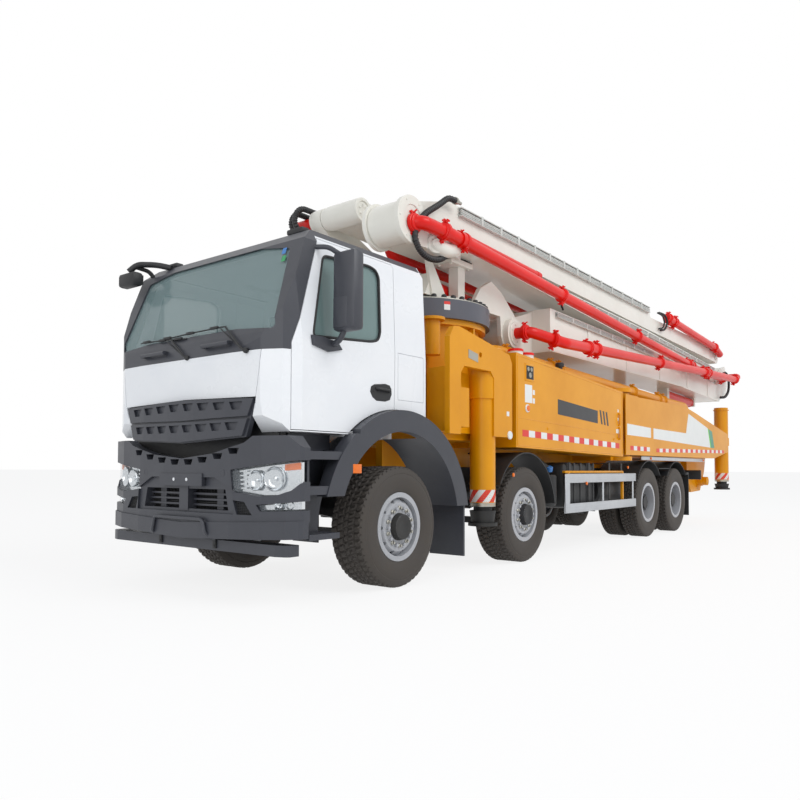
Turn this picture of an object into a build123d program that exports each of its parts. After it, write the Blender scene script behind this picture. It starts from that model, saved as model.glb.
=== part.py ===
from build123d import *
import math
import os

# A truck-mounted concrete pump with a six-section folding boom, parked with its boom folded.
# Millimetres. While modelling, x = 0 is the first axle, +x points forward, +y to the left and
# z = 0 is the ground. The finished pieces are moved along x so that the origin is the middle
# of the footprint.

os.makedirs("parts", exist_ok=True)

# ------------------------------------------------------------------ vehicle
AXLE_X = {1: 0, 2: -2300, 3: -6300, 4: -7650}
STEERED_AXLES = (1, 2)
SIDES = {"left": 1, "right": -1}
TYRE_RADIUS = 536
HALF_WIDTH = 1240
NOSE_X = 1460
GAP = 6                      # clearance between pieces that move past each other
SEAT = 0.5                   # clearance where a piece seats on another of the same body

SINGLE_WIDTH = 385
TWIN_WIDTH = 300
TWIN_GAP = 40
TYRE_OUTER_Y = 1200
RIM_SEAT = 286
RIM_LIP = 304
KINGPIN_Y = 860
KINGPIN_RADIUS = 28
SPINDLE_RADIUS = 42
STUDS = 10
STUD_CIRCLE = 167

RAIL_Y = 350                 # inner face of a frame rail
RAIL_FLANGE = 85
RAIL_WEB = 10
RAIL_BOTTOM = 770
RAIL_TOP = 1070
RAIL_FRONT = 1050
RAIL_REAR = -9500

# ------------------------------------------------------------------ cab
CAB_HALF = 1150
CAB_REAR = -420
CAB_FLOOR = 1330
CAB_ROOF = 3045
CAB_WALL = 60
CAB_FRONT = 1440
FENDER_INNER = 840
FENDER_OUTER = 1030
FENDER_FACE = 120
DOOR_GAP = 6
DOOR_HINGE_X = 1285

# ------------------------------------------------------------------ pump superstructure
SLEW_X = -1840
RING_RADIUS = 850
RING_BOTTOM = 2690
RING_TOP = 2900
SLEW_MOTOR_CIRCLE = 930
TURRET_FLOOR = RING_TOP + GAP + 30
FRONT_LEG_X = -1540
FOOT_RADIUS = 155             # small enough for a steered wheel to pass
REAR_LEG_X = -11000
LEG_Y = HALF_WIDTH - 155
LEG_RADIUS = 135
LEG_WALL = 28
RAM_RADIUS = 98
FRONT_LEG_Z = (670, 2200)
REAR_LEG_Z = (820, 2340)
FRONT_FOOT_Z = 450
REAR_FOOT_Z = 640
CROSS_BOX_X = (-1960, -650)
CROSS_BOX_HALF = LEG_Y - LEG_RADIUS - 25
CROSS_BOX_Z = (1350, 2000)
LOCKER_INNER = HALF_WIDTH - 505
BEAM_DEPTH = 400             # height of a front outrigger beam
SWING_PIVOT = (-5450, 1040)
SWING_HUB = 160
ARM_FACE = HALF_WIDTH - 5    # outer skin of the rear outrigger arms
ARM_INNER = HALF_WIDTH - 310

# ------------------------------------------------------------------ boom
# A pin is (x, z). Lanes are the y ranges that the folded sections lie in.
PIN = {
    1: (-2950, 2750),
    2: (-12300, 3130),
    3: (-620, 3530),
    4: (-11900, 3600),
    5: (-750, 3830),
    6: (-9800, 3330),
}
LANE = {
    1: (70, 830),
    2: (135, 765),
    3: (200, 765),
    4: (-380, 60),
    5: (-900, -450),
    6: (-850, -500),
}
EAR_3 = (380, 830)           # where arm 2's two front ears stand, with arm 3's drum between them
PIPE_RADIUS = 70
PIPE_BEND = 190
BOOM_PIPE_Y = {1: 1120, 2: 960}
# A hose loop at the fifth hinge: its y, how far it stands off the pin, and how high it rises over
# it. The rise is what leaves the cab roof free when arm 3 alone turns half a turn.
HOSE_LOOPS = [(-670, 330, 130), (-790, 260, 105)]


# ------------------------------------------------------------------ small helpers
def block(x, y, z):
    """A box from three (low, high) pairs."""
    size = [max(pair) - min(pair) for pair in (x, y, z)]
    middle = [(pair[0] + pair[1]) / 2 for pair in (x, y, z)]
    return Pos(*middle) * Box(*size)


def rod(start, end, radius):
    """A round bar between two points."""
    axis = Vector(*end) - Vector(*start)
    low = (Align.CENTER, Align.CENTER, Align.MIN)
    return Plane(origin=start, z_dir=axis) * Cylinder(radius, axis.length, align=low)


def pin_bar(pin, y, radius):
    """A round bar across the machine at an (x, z) pin."""
    return rod((pin[0], y[0], pin[1]), (pin[0], y[1], pin[1]), radius)


def side_plate(points, y):
    """A side-view outline of (x, z) points, extruded from y[0] to y[1]."""
    face = Plane.XZ * make_face(Polyline(*points, close=True))
    return Pos(0, max(y), 0) * extrude(face, amount=max(y) - min(y))


def plan_plate(points, z):
    """A top-view outline of (x, y) points, extruded from z[0] to z[1]."""
    face = make_face(Polyline(*points, close=True))
    return Pos(0, 0, min(z)) * extrude(face, amount=max(z) - min(z))


def front_plate(points, x):
    """A front-view outline of (y, z) points, extruded from x[0] to x[1]."""
    face = Plane.YZ * make_face(Polyline(*points, close=True))
    return Pos(min(x), 0, 0) * extrude(face, amount=max(x) - min(x))


def mirrored(shape):
    return mirror(shape, about=Plane.XZ)


def both_sides(shape):
    """The piece and its mirror image on the other side of the machine."""
    return [shape, mirrored(shape)]


def on_side(shape, side):
    return shape if side == "left" else mirrored(shape)


def pipe(points, radius=PIPE_RADIUS, bend=PIPE_BEND):
    """A round bar along straight runs that are joined by tangent bends."""
    path = FilletPolyline(*points, radius=bend)
    start = Vector(*points[0])
    section = Plane(origin=start, z_dir=Vector(*points[1]) - start) * Circle(radius)
    return sweep(section, path=path)


def fused(pieces):
    result = pieces[0]
    for piece in pieces[1:]:
        result = result + piece
    return result


NODES = {}


def node(name, *pieces):
    """Collects the solids of one node."""
    solids = []
    for piece in pieces:
        group = piece if isinstance(piece, (list, tuple)) else [piece]
        for shape in group:
            solids.extend(shape.solids())
    NODES[name] = solids


# ------------------------------------------------------------------ wheels
def ring_of_profile(points, x, y):
    """Turns (across, radius) points round the wheel's axle at (x, y)."""
    face = make_face(Polyline(*points, close=True))
    wheel = revolve(face, axis=Axis.X)
    return Pos(x, y, TYRE_RADIUS) * Rot(0, 0, 90) * wheel


def tyre(x, y, width):
    half = width / 2
    outline = [
        (-half * 0.80, RIM_SEAT + SEAT),
        (-half * 0.80, RIM_LIP + 3),
        (-half * 0.97, 370),
        (-half, 430),
        (-half * 0.86, TYRE_RADIUS - 12),
        (-half * 0.76, TYRE_RADIUS),
        (half * 0.76, TYRE_RADIUS),
        (half * 0.86, TYRE_RADIUS - 12),
        (half, 430),
        (half * 0.97, 370),
        (half * 0.80, RIM_LIP + 3),
        (half * 0.80, RIM_SEAT + SEAT),
    ]
    return ring_of_profile(outline, x, y)


def bolt_ring(x, y, radius, z_count, start, depth, hole):
    bars = []
    for index in range(z_count):
        angle = 2 * math.pi * index / z_count
        cx = x + radius * math.cos(angle)
        cz = TYRE_RADIUS + radius * math.sin(angle)
        bars.append(rod((cx, start, cz), (cx, start + depth, cz), hole))
    return bars


def single_rim(x, y, width):
    """A disc rim whose face stands out, with its hub and cap, for a steered wheel."""
    half = width / 2
    seat = half * 0.80
    face_at = seat - 10
    outline = [
        (-seat - 14, RIM_SEAT - 26),
        (-seat - 14, RIM_LIP),
        (-seat - SEAT, RIM_LIP),
        (-seat - SEAT, RIM_SEAT),
        (seat + SEAT, RIM_SEAT),
        (seat + SEAT, RIM_LIP),
        (seat + 14, RIM_LIP),
        (seat + 14, RIM_SEAT - 26),
        (face_at - 40, RIM_SEAT - 26),
        (face_at + 16, 215),
        (face_at + 16, 120),
        (face_at + 70, 108),
        (face_at + 70, 0),
        (face_at - 60, 0),
        (face_at - 60, 130),
        (face_at - 2, 130),
        (face_at - 2, 205),
        (face_at - 66, RIM_SEAT - 26),
    ]
    rim = ring_of_profile(outline, x, y)
    holes = bolt_ring(x, y, 236, STUDS, y + face_at - 80, 120, 19)
    studs = bolt_ring(x, y, STUD_CIRCLE, STUDS, y + face_at, 44, 15)
    return fused([rim - holes] + studs)


def twin_rim(x, outer_y, inner_y, width):
    """Two deep-dish rims set back to back on one hub."""
    half = width / 2
    seat = half * 0.80
    middle = (outer_y + inner_y) / 2
    reach = outer_y - middle
    rims = []
    for sign in (1, -1):
        flip = [
            (reach - seat - 14, RIM_SEAT - 26),
            (reach - seat - 14, RIM_LIP),
            (reach - seat - SEAT, RIM_LIP),
            (reach - seat - SEAT, RIM_SEAT),
            (reach + seat + SEAT, RIM_SEAT),
            (reach + seat + SEAT, RIM_LIP),
            (reach + seat + 14, RIM_LIP),
            (reach + seat + 14, RIM_SEAT - 26),
            (60, RIM_SEAT - 26),
            (18, 215),
            (18, 0),
            (0, 0),
            (0, 225),
            (20, RIM_SEAT - 16),
            (reach - seat - 40, RIM_SEAT - 26),
        ]
        outline = [(sign * across, radius) for across, radius in flip]
        rims.append(ring_of_profile(outline, x, middle))
    hub = rod((x, middle, TYRE_RADIUS), (x, outer_y + 70, TYRE_RADIUS), 132)
    cap = rod((x, outer_y + 70, TYRE_RADIUS), (x, outer_y + 92, TYRE_RADIUS), 100)
    body = fused(rims + [hub, cap])
    bore = rod((x, inner_y - 200, TYRE_RADIUS), (x, outer_y + 20, TYRE_RADIUS), SPINDLE_RADIUS + 0.3)
    holes = bolt_ring(x, middle, 236, STUDS, middle - 60, 120, 19)
    studs = bolt_ring(x, middle, STUD_CIRCLE, STUDS, middle + 10, 44, 15)
    return fused([body - holes] + studs) - bore


def wheel_centres(axle):
    """The y places of the tyres of one left wheel, the outer one first."""
    if axle in STEERED_AXLES:
        return [TYRE_OUTER_Y - SINGLE_WIDTH / 2]
    outer = TYRE_OUTER_Y - TWIN_WIDTH / 2
    return [outer, outer - TWIN_WIDTH - TWIN_GAP]


def make_wheels():
    for axle, x in AXLE_X.items():
        places = wheel_centres(axle)
        if axle in STEERED_AXLES:
            tyres = [tyre(x, places[0], SINGLE_WIDTH)]
            rim = single_rim(x, places[0], SINGLE_WIDTH)
            bore_end = places[0] + 120
            bore = rod((x, 700, TYRE_RADIUS), (x, bore_end, TYRE_RADIUS), SPINDLE_RADIUS + 0.3)
            rim = rim - bore
        else:
            tyres = [tyre(x, y, TWIN_WIDTH) for y in places]
            rim = twin_rim(x, places[0], places[1], TWIN_WIDTH)
        for side in SIDES:
            node(f"tyre_{axle}_{side}", [on_side(t, side) for t in tyres])
            node(f"rim_{axle}_{side}", on_side(rim, side))


# ------------------------------------------------------------------ axles and knuckles
def knuckle(x):
    """The swivel that carries a steered wheel: fork, kingpin, brake plate and spindle."""
    place = wheel_centres(1)[0]
    fork_back = KINGPIN_Y + 52
    parts = [
        block((x - 45, x + 45), (KINGPIN_Y - 45, fork_back + 20), (TYRE_RADIUS + 66, TYRE_RADIUS + 106)),
        block((x - 45, x + 45), (KINGPIN_Y - 45, fork_back + 20), (TYRE_RADIUS - 106, TYRE_RADIUS - 66)),
        rod((x, fork_back, TYRE_RADIUS), (x, fork_back + 24, TYRE_RADIUS), 190),
        rod((x, fork_back, TYRE_RADIUS), (x, place + 100, TYRE_RADIUS), SPINDLE_RADIUS),
        rod((x, KINGPIN_Y, TYRE_RADIUS - 110), (x, KINGPIN_Y, TYRE_RADIUS + 110), KINGPIN_RADIUS),
    ]
    return fused(parts)


def steered_axle(x):
    """A forged beam with a drop in the middle and a boss at each end."""
    y_end = KINGPIN_Y
    top = TYRE_RADIUS + 35
    low = TYRE_RADIUS - 35
    outline = [
        (-y_end, low), (-y_end + 150, low), (-560, low - 90), (560, low - 90), (y_end - 150,
        low), (y_end, low),
        (y_end, top), (y_end - 150, top), (530, top - 90), (-530, top - 90), (-y_end + 150,
        top), (-y_end, top),
    ]
    beam = front_plate(outline, (x - 45, x + 45))
    for sign in (1, -1):
        boss = rod((x, sign * y_end, TYRE_RADIUS - 60), (x, sign * y_end, TYRE_RADIUS + 60), 50)
        bore = rod((x, sign * y_end, TYRE_RADIUS - 70), (x, sign * y_end, TYRE_RADIUS + 70),
                KINGPIN_RADIUS + 0.3)
        beam = beam + boss - bore
    return beam


def driven_axle(x):
    """A hollow axle with its differential bowl, ending in spindles for the twin wheels."""
    inner = wheel_centres(3)[1]
    spindle_end = wheel_centres(3)[0]
    tube_end = inner - TWIN_WIDTH / 2 - 30
    return fused([
        rod((x, -tube_end, TYRE_RADIUS), (x, tube_end, TYRE_RADIUS), 85),
        rod((x, -spindle_end, TYRE_RADIUS), (x, spindle_end, TYRE_RADIUS), SPINDLE_RADIUS),
        rod((x, -130, TYRE_RADIUS), (x, 130, TYRE_RADIUS), 215),
        rod((x + 190, 0, TYRE_RADIUS), (x + 320, 0, TYRE_RADIUS), 110),
    ])


def leaf_spring(x, y):
    """A stack of leaves that curves down to the axle."""
    span = 620
    leaves = [
        (x - span, 765), (x - 300, 690), (x, 668), (x + 300, 690), (x + span, 765),
        (x + span, 745), (x + 300, 640), (x, 575), (x - 300, 640), (x - span, 745),
    ]
    return side_plate(leaves, (y - 40, y + 40))


def make_axles():
    solids = []
    for axle, x in AXLE_X.items():
        beam = steered_axle(x) if axle in STEERED_AXLES else driven_axle(x)
        solids.append(fused([beam] + both_sides(leaf_spring(x, RAIL_Y + 45))))
        for side in SIDES:
            if axle in STEERED_AXLES:
                node(f"knuckle_{axle}_{side}", on_side(knuckle(x), side))
    node("axles", solids)


# ------------------------------------------------------------------ chassis
def make_chassis():
    rails = []
    web_y = RAIL_Y + RAIL_FLANGE
    rail = fused([
        block((RAIL_REAR, RAIL_FRONT), (web_y - RAIL_WEB, web_y), (RAIL_BOTTOM, RAIL_TOP)),
        block((RAIL_REAR, RAIL_FRONT), (RAIL_Y, web_y), (RAIL_TOP - RAIL_WEB, RAIL_TOP)),
        block((RAIL_REAR, RAIL_FRONT), (RAIL_Y, web_y), (RAIL_BOTTOM, RAIL_BOTTOM + RAIL_WEB)),
    ])
    rails = both_sides(rail)
    crossings = []
    for x in (RAIL_FRONT - 60, -1000, -3300, -5300, -6980, -8600, RAIL_REAR + 60):
        crossings.append(block((x - 50, x + 50), (-web_y + RAIL_WEB, web_y - RAIL_WEB),
                (RAIL_BOTTOM + 30, 920)))
    engine = block((-250, 900), (-320, 320), (620, 1290))
    frame = fused(rails + crossings)
    node("frame_rails", frame, engine)


# ------------------------------------------------------------------ cab
CAB_SIDE = [
    (CAB_REAR, CAB_FLOOR), (1270, CAB_FLOOR), (1400, 1450), (CAB_FRONT, 1920), (1400, 2090), (1120, 2860),
    (1000, 2960), (700, 3020), (200, CAB_ROOF), (CAB_REAR, 3000),
]
CAB_PLAN_HALF = [(CAB_FRONT, 500), (1410, CAB_HALF - 220), (1330, CAB_HALF - 60), (1180, CAB_HALF),
        (CAB_REAR, CAB_HALF)]
CAB_PLAN = CAB_PLAN_HALF + [(x, -y) for x, y in reversed(CAB_PLAN_HALF)]
CAB_END_HALF = [
    (CAB_HALF, CAB_FLOOR), (CAB_HALF, 2050), (CAB_HALF - 40, 2850), (CAB_HALF - 110, 2960), (800,
    3025), (400, CAB_ROOF),
]
CAB_END = CAB_END_HALF + [(-y, z) for y, z in reversed(CAB_END_HALF)]
DOOR = [(1262, 1345), (60, 1345), (30, 2880), (980, 2880), (1262, 2010)]
DOOR_WINDOW = [(1068, 2080), (360, 2135), (270, 2160), (238, 2225), (232, 2720), (270, 2775),
        (360, 2795), (930, 2752)]
WINDSCREEN = [
    (-1040, 2110), (-600, 2150), (600, 2150), (1040, 2110), (965, 2790), (600, 2855), (-600,
    2855), (-965, 2790),
]
HOOD_Z = 1955                # where the white bonnet meets the dark panel under the windscreen
FRAME_SIDE = [(1700, HOOD_Z), (1268, HOOD_Z), (1268, 2012), (990, 2872), (990, 2960), (1700, 2960)]
GRILLE_FACE = [(880, 1590), (0, 1612), (-880, 1590), (-775, 1290), (0, 1252), (775, 1290)]


def inset_outline(points, amount):
    """The outline moved inwards, or outwards with a negative amount."""
    wire = Polyline(*points, close=True)
    moved = offset(make_face(wire), amount=-amount, kind=Kind.INTERSECTION)
    return moved


def cab_body(inset):
    """The cab's full shape, drawn in by an even amount on every face."""
    side = Plane.XZ * inset_outline(CAB_SIDE, inset)
    long_side = Pos(0, 1500, 0) * extrude(side, amount=3000)
    plan = Pos(0, 0, 1000) * extrude(inset_outline(CAB_PLAN, inset), amount=2500)
    end = Plane.YZ * inset_outline(CAB_END, inset)
    long_end = Pos(-1000, 0, 0) * extrude(end, amount=3000)
    return long_side & plan & long_end


def arch(radius, y):
    """The space over the first axle's wheel."""
    return pin_bar((AXLE_X[1], TYRE_RADIUS), y, radius)


def rounded_face(points, radius):
    """A closed outline with its corners rounded."""
    sharp = make_face(Polyline(*points, close=True))
    return fillet(sharp.vertices(), radius)


def dark_frame(inset):
    """The zone of the plastic frame round the windscreen and of the two roof rails behind it."""
    face = Plane.XZ * inset_outline(FRAME_SIDE, inset)
    front = Pos(0, CAB_HALF + 50, 0) * extrude(face, amount=2 * CAB_HALF + 100)
    rails = []
    for sign in (1, -1):
        inner = sign * (CAB_HALF - 150 + inset)
        outer = sign * (CAB_HALF + 50)
        rails.append(block((CAB_REAR + 10 + inset, 1000), (inner, outer), (2905 + inset, 3100)))
    return fused([front] + rails)


def make_cab():
    outer = cab_body(0)
    wall = outer - cab_body(CAB_WALL)
    side_y = (CAB_HALF - 130, CAB_HALF + 50)
    clear = inset_outline(DOOR, -DOOR_GAP)
    door_space = Pos(0, side_y[1], 0) * extrude(Plane.XZ * clear, amount=side_y[1] - side_y[0])
    door_prism = side_plate(DOOR, side_y)
    window_face = Plane.XZ * rounded_face(DOOR_WINDOW, 24)
    window_prism = Pos(0, side_y[1], 0) * extrude(window_face, amount=side_y[1] - side_y[0])
    screen_prism = Pos(800, 0, 0) * extrude(Plane.YZ * rounded_face(WINDSCREEN, 40), amount=800)
    arch_y = (740, CAB_HALF + 100)
    grille_space = Pos(1250, 0, 0) * extrude(Plane.YZ * inset_outline(GRILLE_FACE, -GAP), amount=350)
    shell = wall - screen_prism - grille_space
    for side in SIDES:
        shell = shell - on_side(door_space, side) - on_side(arch(FENDER_OUTER + 8, arch_y), side)
    white = shell - dark_frame(-SEAT) - bonnet_seams()
    node("cab_shell", white)
    grips = []
    for y in (-430, 430):
        grips.append(pin_bar((1452, 2035), (y - 170, y + 170), 16) + block((1395, 1452),
                (y - 170, y - 140), (2019, 2051))
                     + block((1395, 1452), (y + 140, y + 170), (2019, 2051)))
    grips = [grip - cab_body(30) for grip in grips]
    node("cab_front_frame", fused([shell & dark_frame(0)] + grips))

    pane = cab_body(16) - cab_body(26)
    seated = Plane.XZ * offset(rounded_face(DOOR_WINDOW, 24), amount=-SEAT)
    glass_y = (CAB_HALF - 70, CAB_HALF + 50)
    glass_prism = Pos(0, glass_y[1], 0) * extrude(seated, amount=glass_y[1] - glass_y[0])
    screen_seat = Plane.YZ * offset(rounded_face(WINDSCREEN, 40), amount=-SEAT)
    node("windscreen", pane & (Pos(800, 0, 0) * extrude(screen_seat, amount=800)))

    door = (wall & door_prism) - window_prism - arch(FENDER_OUTER + 8, arch_y)
    fittings = [pane & glass_prism, door_mirror() - outer, door_handle() - outer]
    for side in SIDES:
        node(f"door_{side}", on_side(door, side))
        node(f"door_{side}_fittings", [on_side(piece, side) for piece in fittings])

    make_interior()
    make_front()
    make_fenders()


def bonnet_seams():
    """The joints of the bonnet flap and of the hatch behind each door, cut as shallow grooves."""
    depth = cab_body(-1) - cab_body(9)
    seam = front_plate([(862, 1500), (868, 1500), (906, 1700), (940, HOOD_Z + 5), (934, HOOD_Z + 5),
            (900, 1700)], (1200, 1600))
    hatch_x = (-385, 2)
    hatch_z = (1660, 2085)
    rim = block(hatch_x, (CAB_HALF - 20, CAB_HALF + 20), hatch_z)
    core = block((hatch_x[0] + 5, hatch_x[1] - 5), (CAB_HALF - 30, CAB_HALF + 30),
            (hatch_z[0] + 5, hatch_z[1] - 5))
    return fused(both_sides(seam) + both_sides(rim - core)) & depth


def door_mirror():
    """The mirror head with its two arms, and the black triangle that carries the lower one."""
    near = CAB_HALF + 60
    plan = [(800, near), (905, near), (938, near + 40), (938, near + 190), (900, near + 245),
            (800, near + 235)]
    head = Pos(0, 0, 2125) * extrude(rounded_face(plan, 24), amount=640)
    head = fillet(head.edges().group_by(Axis.Z)[0] + head.edges().group_by(Axis.Z)[-1], 20)
    base = side_plate([(1085, 2070), (1065, 2010), (900, 1975), (760, 2010), (820, 2060), (1000, 2075)],
            (CAB_HALF - 40, CAB_HALF + 40))
    lower = pipe([(870, CAB_HALF, 2040), (870, CAB_HALF + 110, 2060), (870, CAB_HALF + 150, 2180)], 20, 40)
    upper = pipe([(1010, CAB_HALF - 55, 2805), (960, CAB_HALF + 40, 2800), (880, CAB_HALF + 120, 2735)],
            18, 30)
    return fused([head, base, lower, upper])


def door_handle():
    face = rounded_face([(90, 1690), (140, 1640), (300, 1632), (385, 1700), (360, 1765), (150, 1790),
            (95, 1760)], 18)
    dish = Pos(0, CAB_HALF + 6, 0) * extrude(Plane.XZ * face, amount=6 - SEAT)
    grip = block((110, 300), (CAB_HALF + 6, CAB_HALF + 30), (1715, 1755))
    return dish + grip


def make_interior():
    seats = []
    for y in (560, -560):
        base = block((-60, 420), (y - 240, y + 240), (CAB_FLOOR + CAB_WALL + SEAT, 1790))
        back = side_plate([(-60, 1790), (80, 1790), (-40, 2500), (-180, 2500)], (y - 230, y + 230))
        head = block((-190, -80), (y - 130, y + 130), (2500, 2660))
        seats.append(fused([base, back, head]))
    dash = side_plate([(1090, 1450), (1330, 1450), (1350, 1900), (1200, 1970), (980, 1880)], (-1020, 1020))
    column = rod((1010, 560, 1860), (860, 560, 2010), 28)
    hub_plane = Plane(origin=(850, 560, 2020), z_dir=(-1, 0, 1))
    wheel = hub_plane * (Torus(220, 15) + Cylinder(60, 24) + Box(430, 36, 14))
    dash = dash & cab_body(CAB_WALL + SEAT)
    node("cab_interior", seats, fused([dash, column, wheel]))


# ------------------------------------------------------------------ front end
# An entry step: bottom and top of its front edge, and the y where its tread begins.
FLAP_TOP = 800
STEPS = [(500, 545, 960), (846, 912, 960), (1118, 1182, 960)]
BUMPER_PLAN_HALF = [
    (NOSE_X, 250), (1448, 620), (1415, 940), (1350, HALF_WIDTH - 90), (1285, HALF_WIDTH - 15), (1250,
    HALF_WIDTH),
    (1190, HALF_WIDTH),
]
BUMPER_PLAN = BUMPER_PLAN_HALF + [(x, -y) for x, y in reversed(BUMPER_PLAN_HALF)]
GRILLE_PLAN_HALF = [(1462, 180), (1446, 560), (1414, 900), (1250, 980)]
GRILLE_PLAN = GRILLE_PLAN_HALF + [(x, -y) for x, y in reversed(GRILLE_PLAN_HALF)]
# A row of the grille: bottom height in the middle and at its ends, top height in the middle and
# at its ends, half width at the bottom and at the top.
GRILLE_ROWS = [(1438, 1452, 1604, 1584, 800, 860), (1262, 1300, 1424, 1432, 745, 800)]


def curved_plate(outline, face, depth, inset=0.0):
    """A shell that follows a plan outline to a depth behind its front, cut to a front-view outline."""
    outer = plan_plate(outline, (300, 1700))
    inner = plan_plate([(x - depth, y) for x, y in outline], (290, 1710))
    cut = Pos(1240, 0, 0) * extrude(Plane.YZ * inset_outline(face, inset), amount=460)
    return (outer - inner) & cut


def mirror_y(points):
    """A front-view outline from its half at y >= 0, listed from the bottom middle to the top middle."""
    return points + [(-y, z) for y, z in reversed(points) if y != 0]


def make_front():
    """Bumper with its intake, steps and lower beam, the headlamps in it and the grille over it."""
    plan = BUMPER_PLAN
    upper = mirror_y([(0, 590), (HALF_WIDTH, 640), (HALF_WIDTH, 1205), (HALF_WIDTH - 85, 1296),
            (850, 1296), (760, 1245), (400, 1165), (0, 1128)])
    lower = mirror_y([(0, 475), (HALF_WIDTH, 520), (HALF_WIDTH, 655), (0, 605)])
    solid = plan_plate([(x - 14, y) for x, y in plan], (400, 1400)) & front_plate(upper, (1100, 1600))
    lip = plan_plate(plan, (400, 1400)) & front_plate(lower, (1100, 1600))
    hollow = plan_plate([(x - 100, y * 0.93) for x, y in plan], (300, 1500))
    bumper = (solid + lip) - hollow
    intake = front_plate([(-575, 715), (575, 715), (535, 880), (-535, 880)], (1200, 1600))
    recess = front_plate([(-660, 690), (660, 690), (640, 880), (430, 975), (-430, 975), (-640, 880)],
            (1412, 1600))
    lamp_face = [(620, 1036), (640, 866), (900, 836), (1060, 842), (1175, 880), (1300, 1010), (1300, 1118)]
    lamp_space = front_plate(lamp_face, (1100, 1600))
    mesh_space = front_plate([(650, 800), (690, 690), (850, 690), (770, 790)], (1100, 1600))
    fog_face = [(890, 770), (930, 722), (1300, 735), (1250, 802)]
    fog_space = front_plate(fog_face, (1100, 1600))
    for shape in [intake, recess] + both_sides(lamp_space) + both_sides(mesh_space) + both_sides(fog_space):
        bumper = bumper - shape
    for index in range(8):
        y = (index - 3.5) * 185
        z = 1092 + 0.000165 * y * y + 0.03 * abs(y)
        hole = [(y - 62, z + 26), (y - 40, z - 20), (y + 40, z - 20), (y + 62, z + 26)]
        bumper = bumper - front_plate(hole, (1200, 1600))
    beam = block((1230, 1375), (-1180, 1180), (388, 474)) & plan_plate(plan, (300, 600))
    post = block((1330, 1418), (-60, 60), (700, 900))
    plate = block((1420, NOSE_X - 4), (-290, 290), (902, 1004))
    slats = [block((1345, 1360), (-600, 600), (z, z + 16)) for z in (740, 785, 830)]
    brackets = [block((1340, 1392), (y - 16, y + 16), (470, 530)) for y in (-370, 370)]
    step_bar = pipe([(1382, -370, 500), (NOSE_X + 12, -370, 505), (NOSE_X + 12, -330, 640),
            (NOSE_X + 12, 330, 640),
                     (NOSE_X + 12, 370, 505), (1382, 370, 500)], 14, (30, 30, 60, 60))
    mounts = [block((1050, 1345), (y - 40, y + 40), (715, 900)) for y in (-390, 390)]
    bumper = fused([bumper, beam, post, plate, step_bar] + slats + brackets + mounts)

    rows = []
    for low_mid, low_end, high_mid, high_end, half_low, half_high in GRILLE_ROWS:
        face = mirror_y([(0, low_mid), (half_low, low_end), (half_high, high_end), (0, high_mid)])
        row = curved_plate(GRILLE_PLAN, face, 26)
        for index in range(8):
            y = (index - 3.5) * (half_low + half_high) / 8.6
            share = abs(y) / half_high
            top = high_mid + (high_end - high_mid) * share - 22
            hole = [(y - 72, top), (y - 40, top - 62), (y + 40, top - 62), (y + 72, top)]
            row = row - front_plate(hole, (1200, 1600))
        rows.append(row)
    backing = curved_plate([(x - 24, y) for x, y in GRILLE_PLAN],
            [(y * 0.99, z) for y, z in GRILLE_FACE], 40)
    node("bumper", bumper, fused(rows + [backing]))

    lens_plan = [(x - 30, y - math.copysign(16, y)) for x, y in plan]
    lens = curved_plate(lens_plan, lamp_face, 8, 3)
    fog = curved_plate(lens_plan, fog_face, 8, 3)
    node("headlamps", both_sides(lens), both_sides(fog))


def make_fenders():
    """Plastic mudguards over the first axle, with the entry steps ahead of them."""
    keep = block((-1100, 0), (700, 1300), (690, 1700)) + block((0, 1100), (700, 1300), (830, 1700))
    face_y = (HALF_WIDTH - FENDER_FACE, HALF_WIDTH - 4)
    face = arch(FENDER_OUTER, face_y) - arch(FENDER_INNER, (600, 1300))
    liner = arch(FENDER_INNER + 22, (740, HALF_WIDTH - FENDER_FACE)) - arch(FENDER_INNER, (600, 1300))
    fender = (face + liner) & keep
    flap = block((-1000, -975), (800, HALF_WIDTH - 30), (190, FLAP_TOP))
    carrier = block((-1000, -940), (RAIL_Y + RAIL_FLANGE, 900), (FLAP_TOP - 60, FLAP_TOP))
    step_x = (700, BUMPER_PLAN_HALF[-1][0] - 20)
    wall = block(step_x, (960, 985), (520, 1326))
    treads = []
    for low, high, inner in STEPS:
        treads.append(block(step_x, (inner, HALF_WIDTH - 12), (high - 26, high)))
        treads.append(block(step_x, (HALF_WIDTH - 40, HALF_WIDTH - 12), (low, high)))
    ends = [block((x, x + 22), (960, HALF_WIDTH - 40), (860, 1200)) for x in (step_x[0] + 60,
            step_x[1] - 22)]
    step = fused([wall] + treads + ends)
    step = step - arch(FENDER_INNER - 5, (600, 1300)) - cab_body(-2)
    bracket = block((900, 1000), (RAIL_Y + RAIL_FLANGE, 965), (880, 960))
    door_sill = block((600, 830), (1100, 1300), (DOOR[0][1] - 10, 1700))
    fender = fender - cab_body(-2) - door_sill
    node("front_fenders", both_sides(fused([fender, flap, carrier, step, bracket])))


# ------------------------------------------------------------------ mudguards, guards, tanks
def guard_arc(x, radius, thickness, y, low):
    ring = pin_bar((x, TYRE_RADIUS), y, radius + thickness) - pin_bar((x, TYRE_RADIUS),
            (y[0] - 1, y[1] + 1), radius)
    return ring & block((x - 2000, x + 2000), (y[0] - 5, y[1] + 5), (low, 3000))


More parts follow.
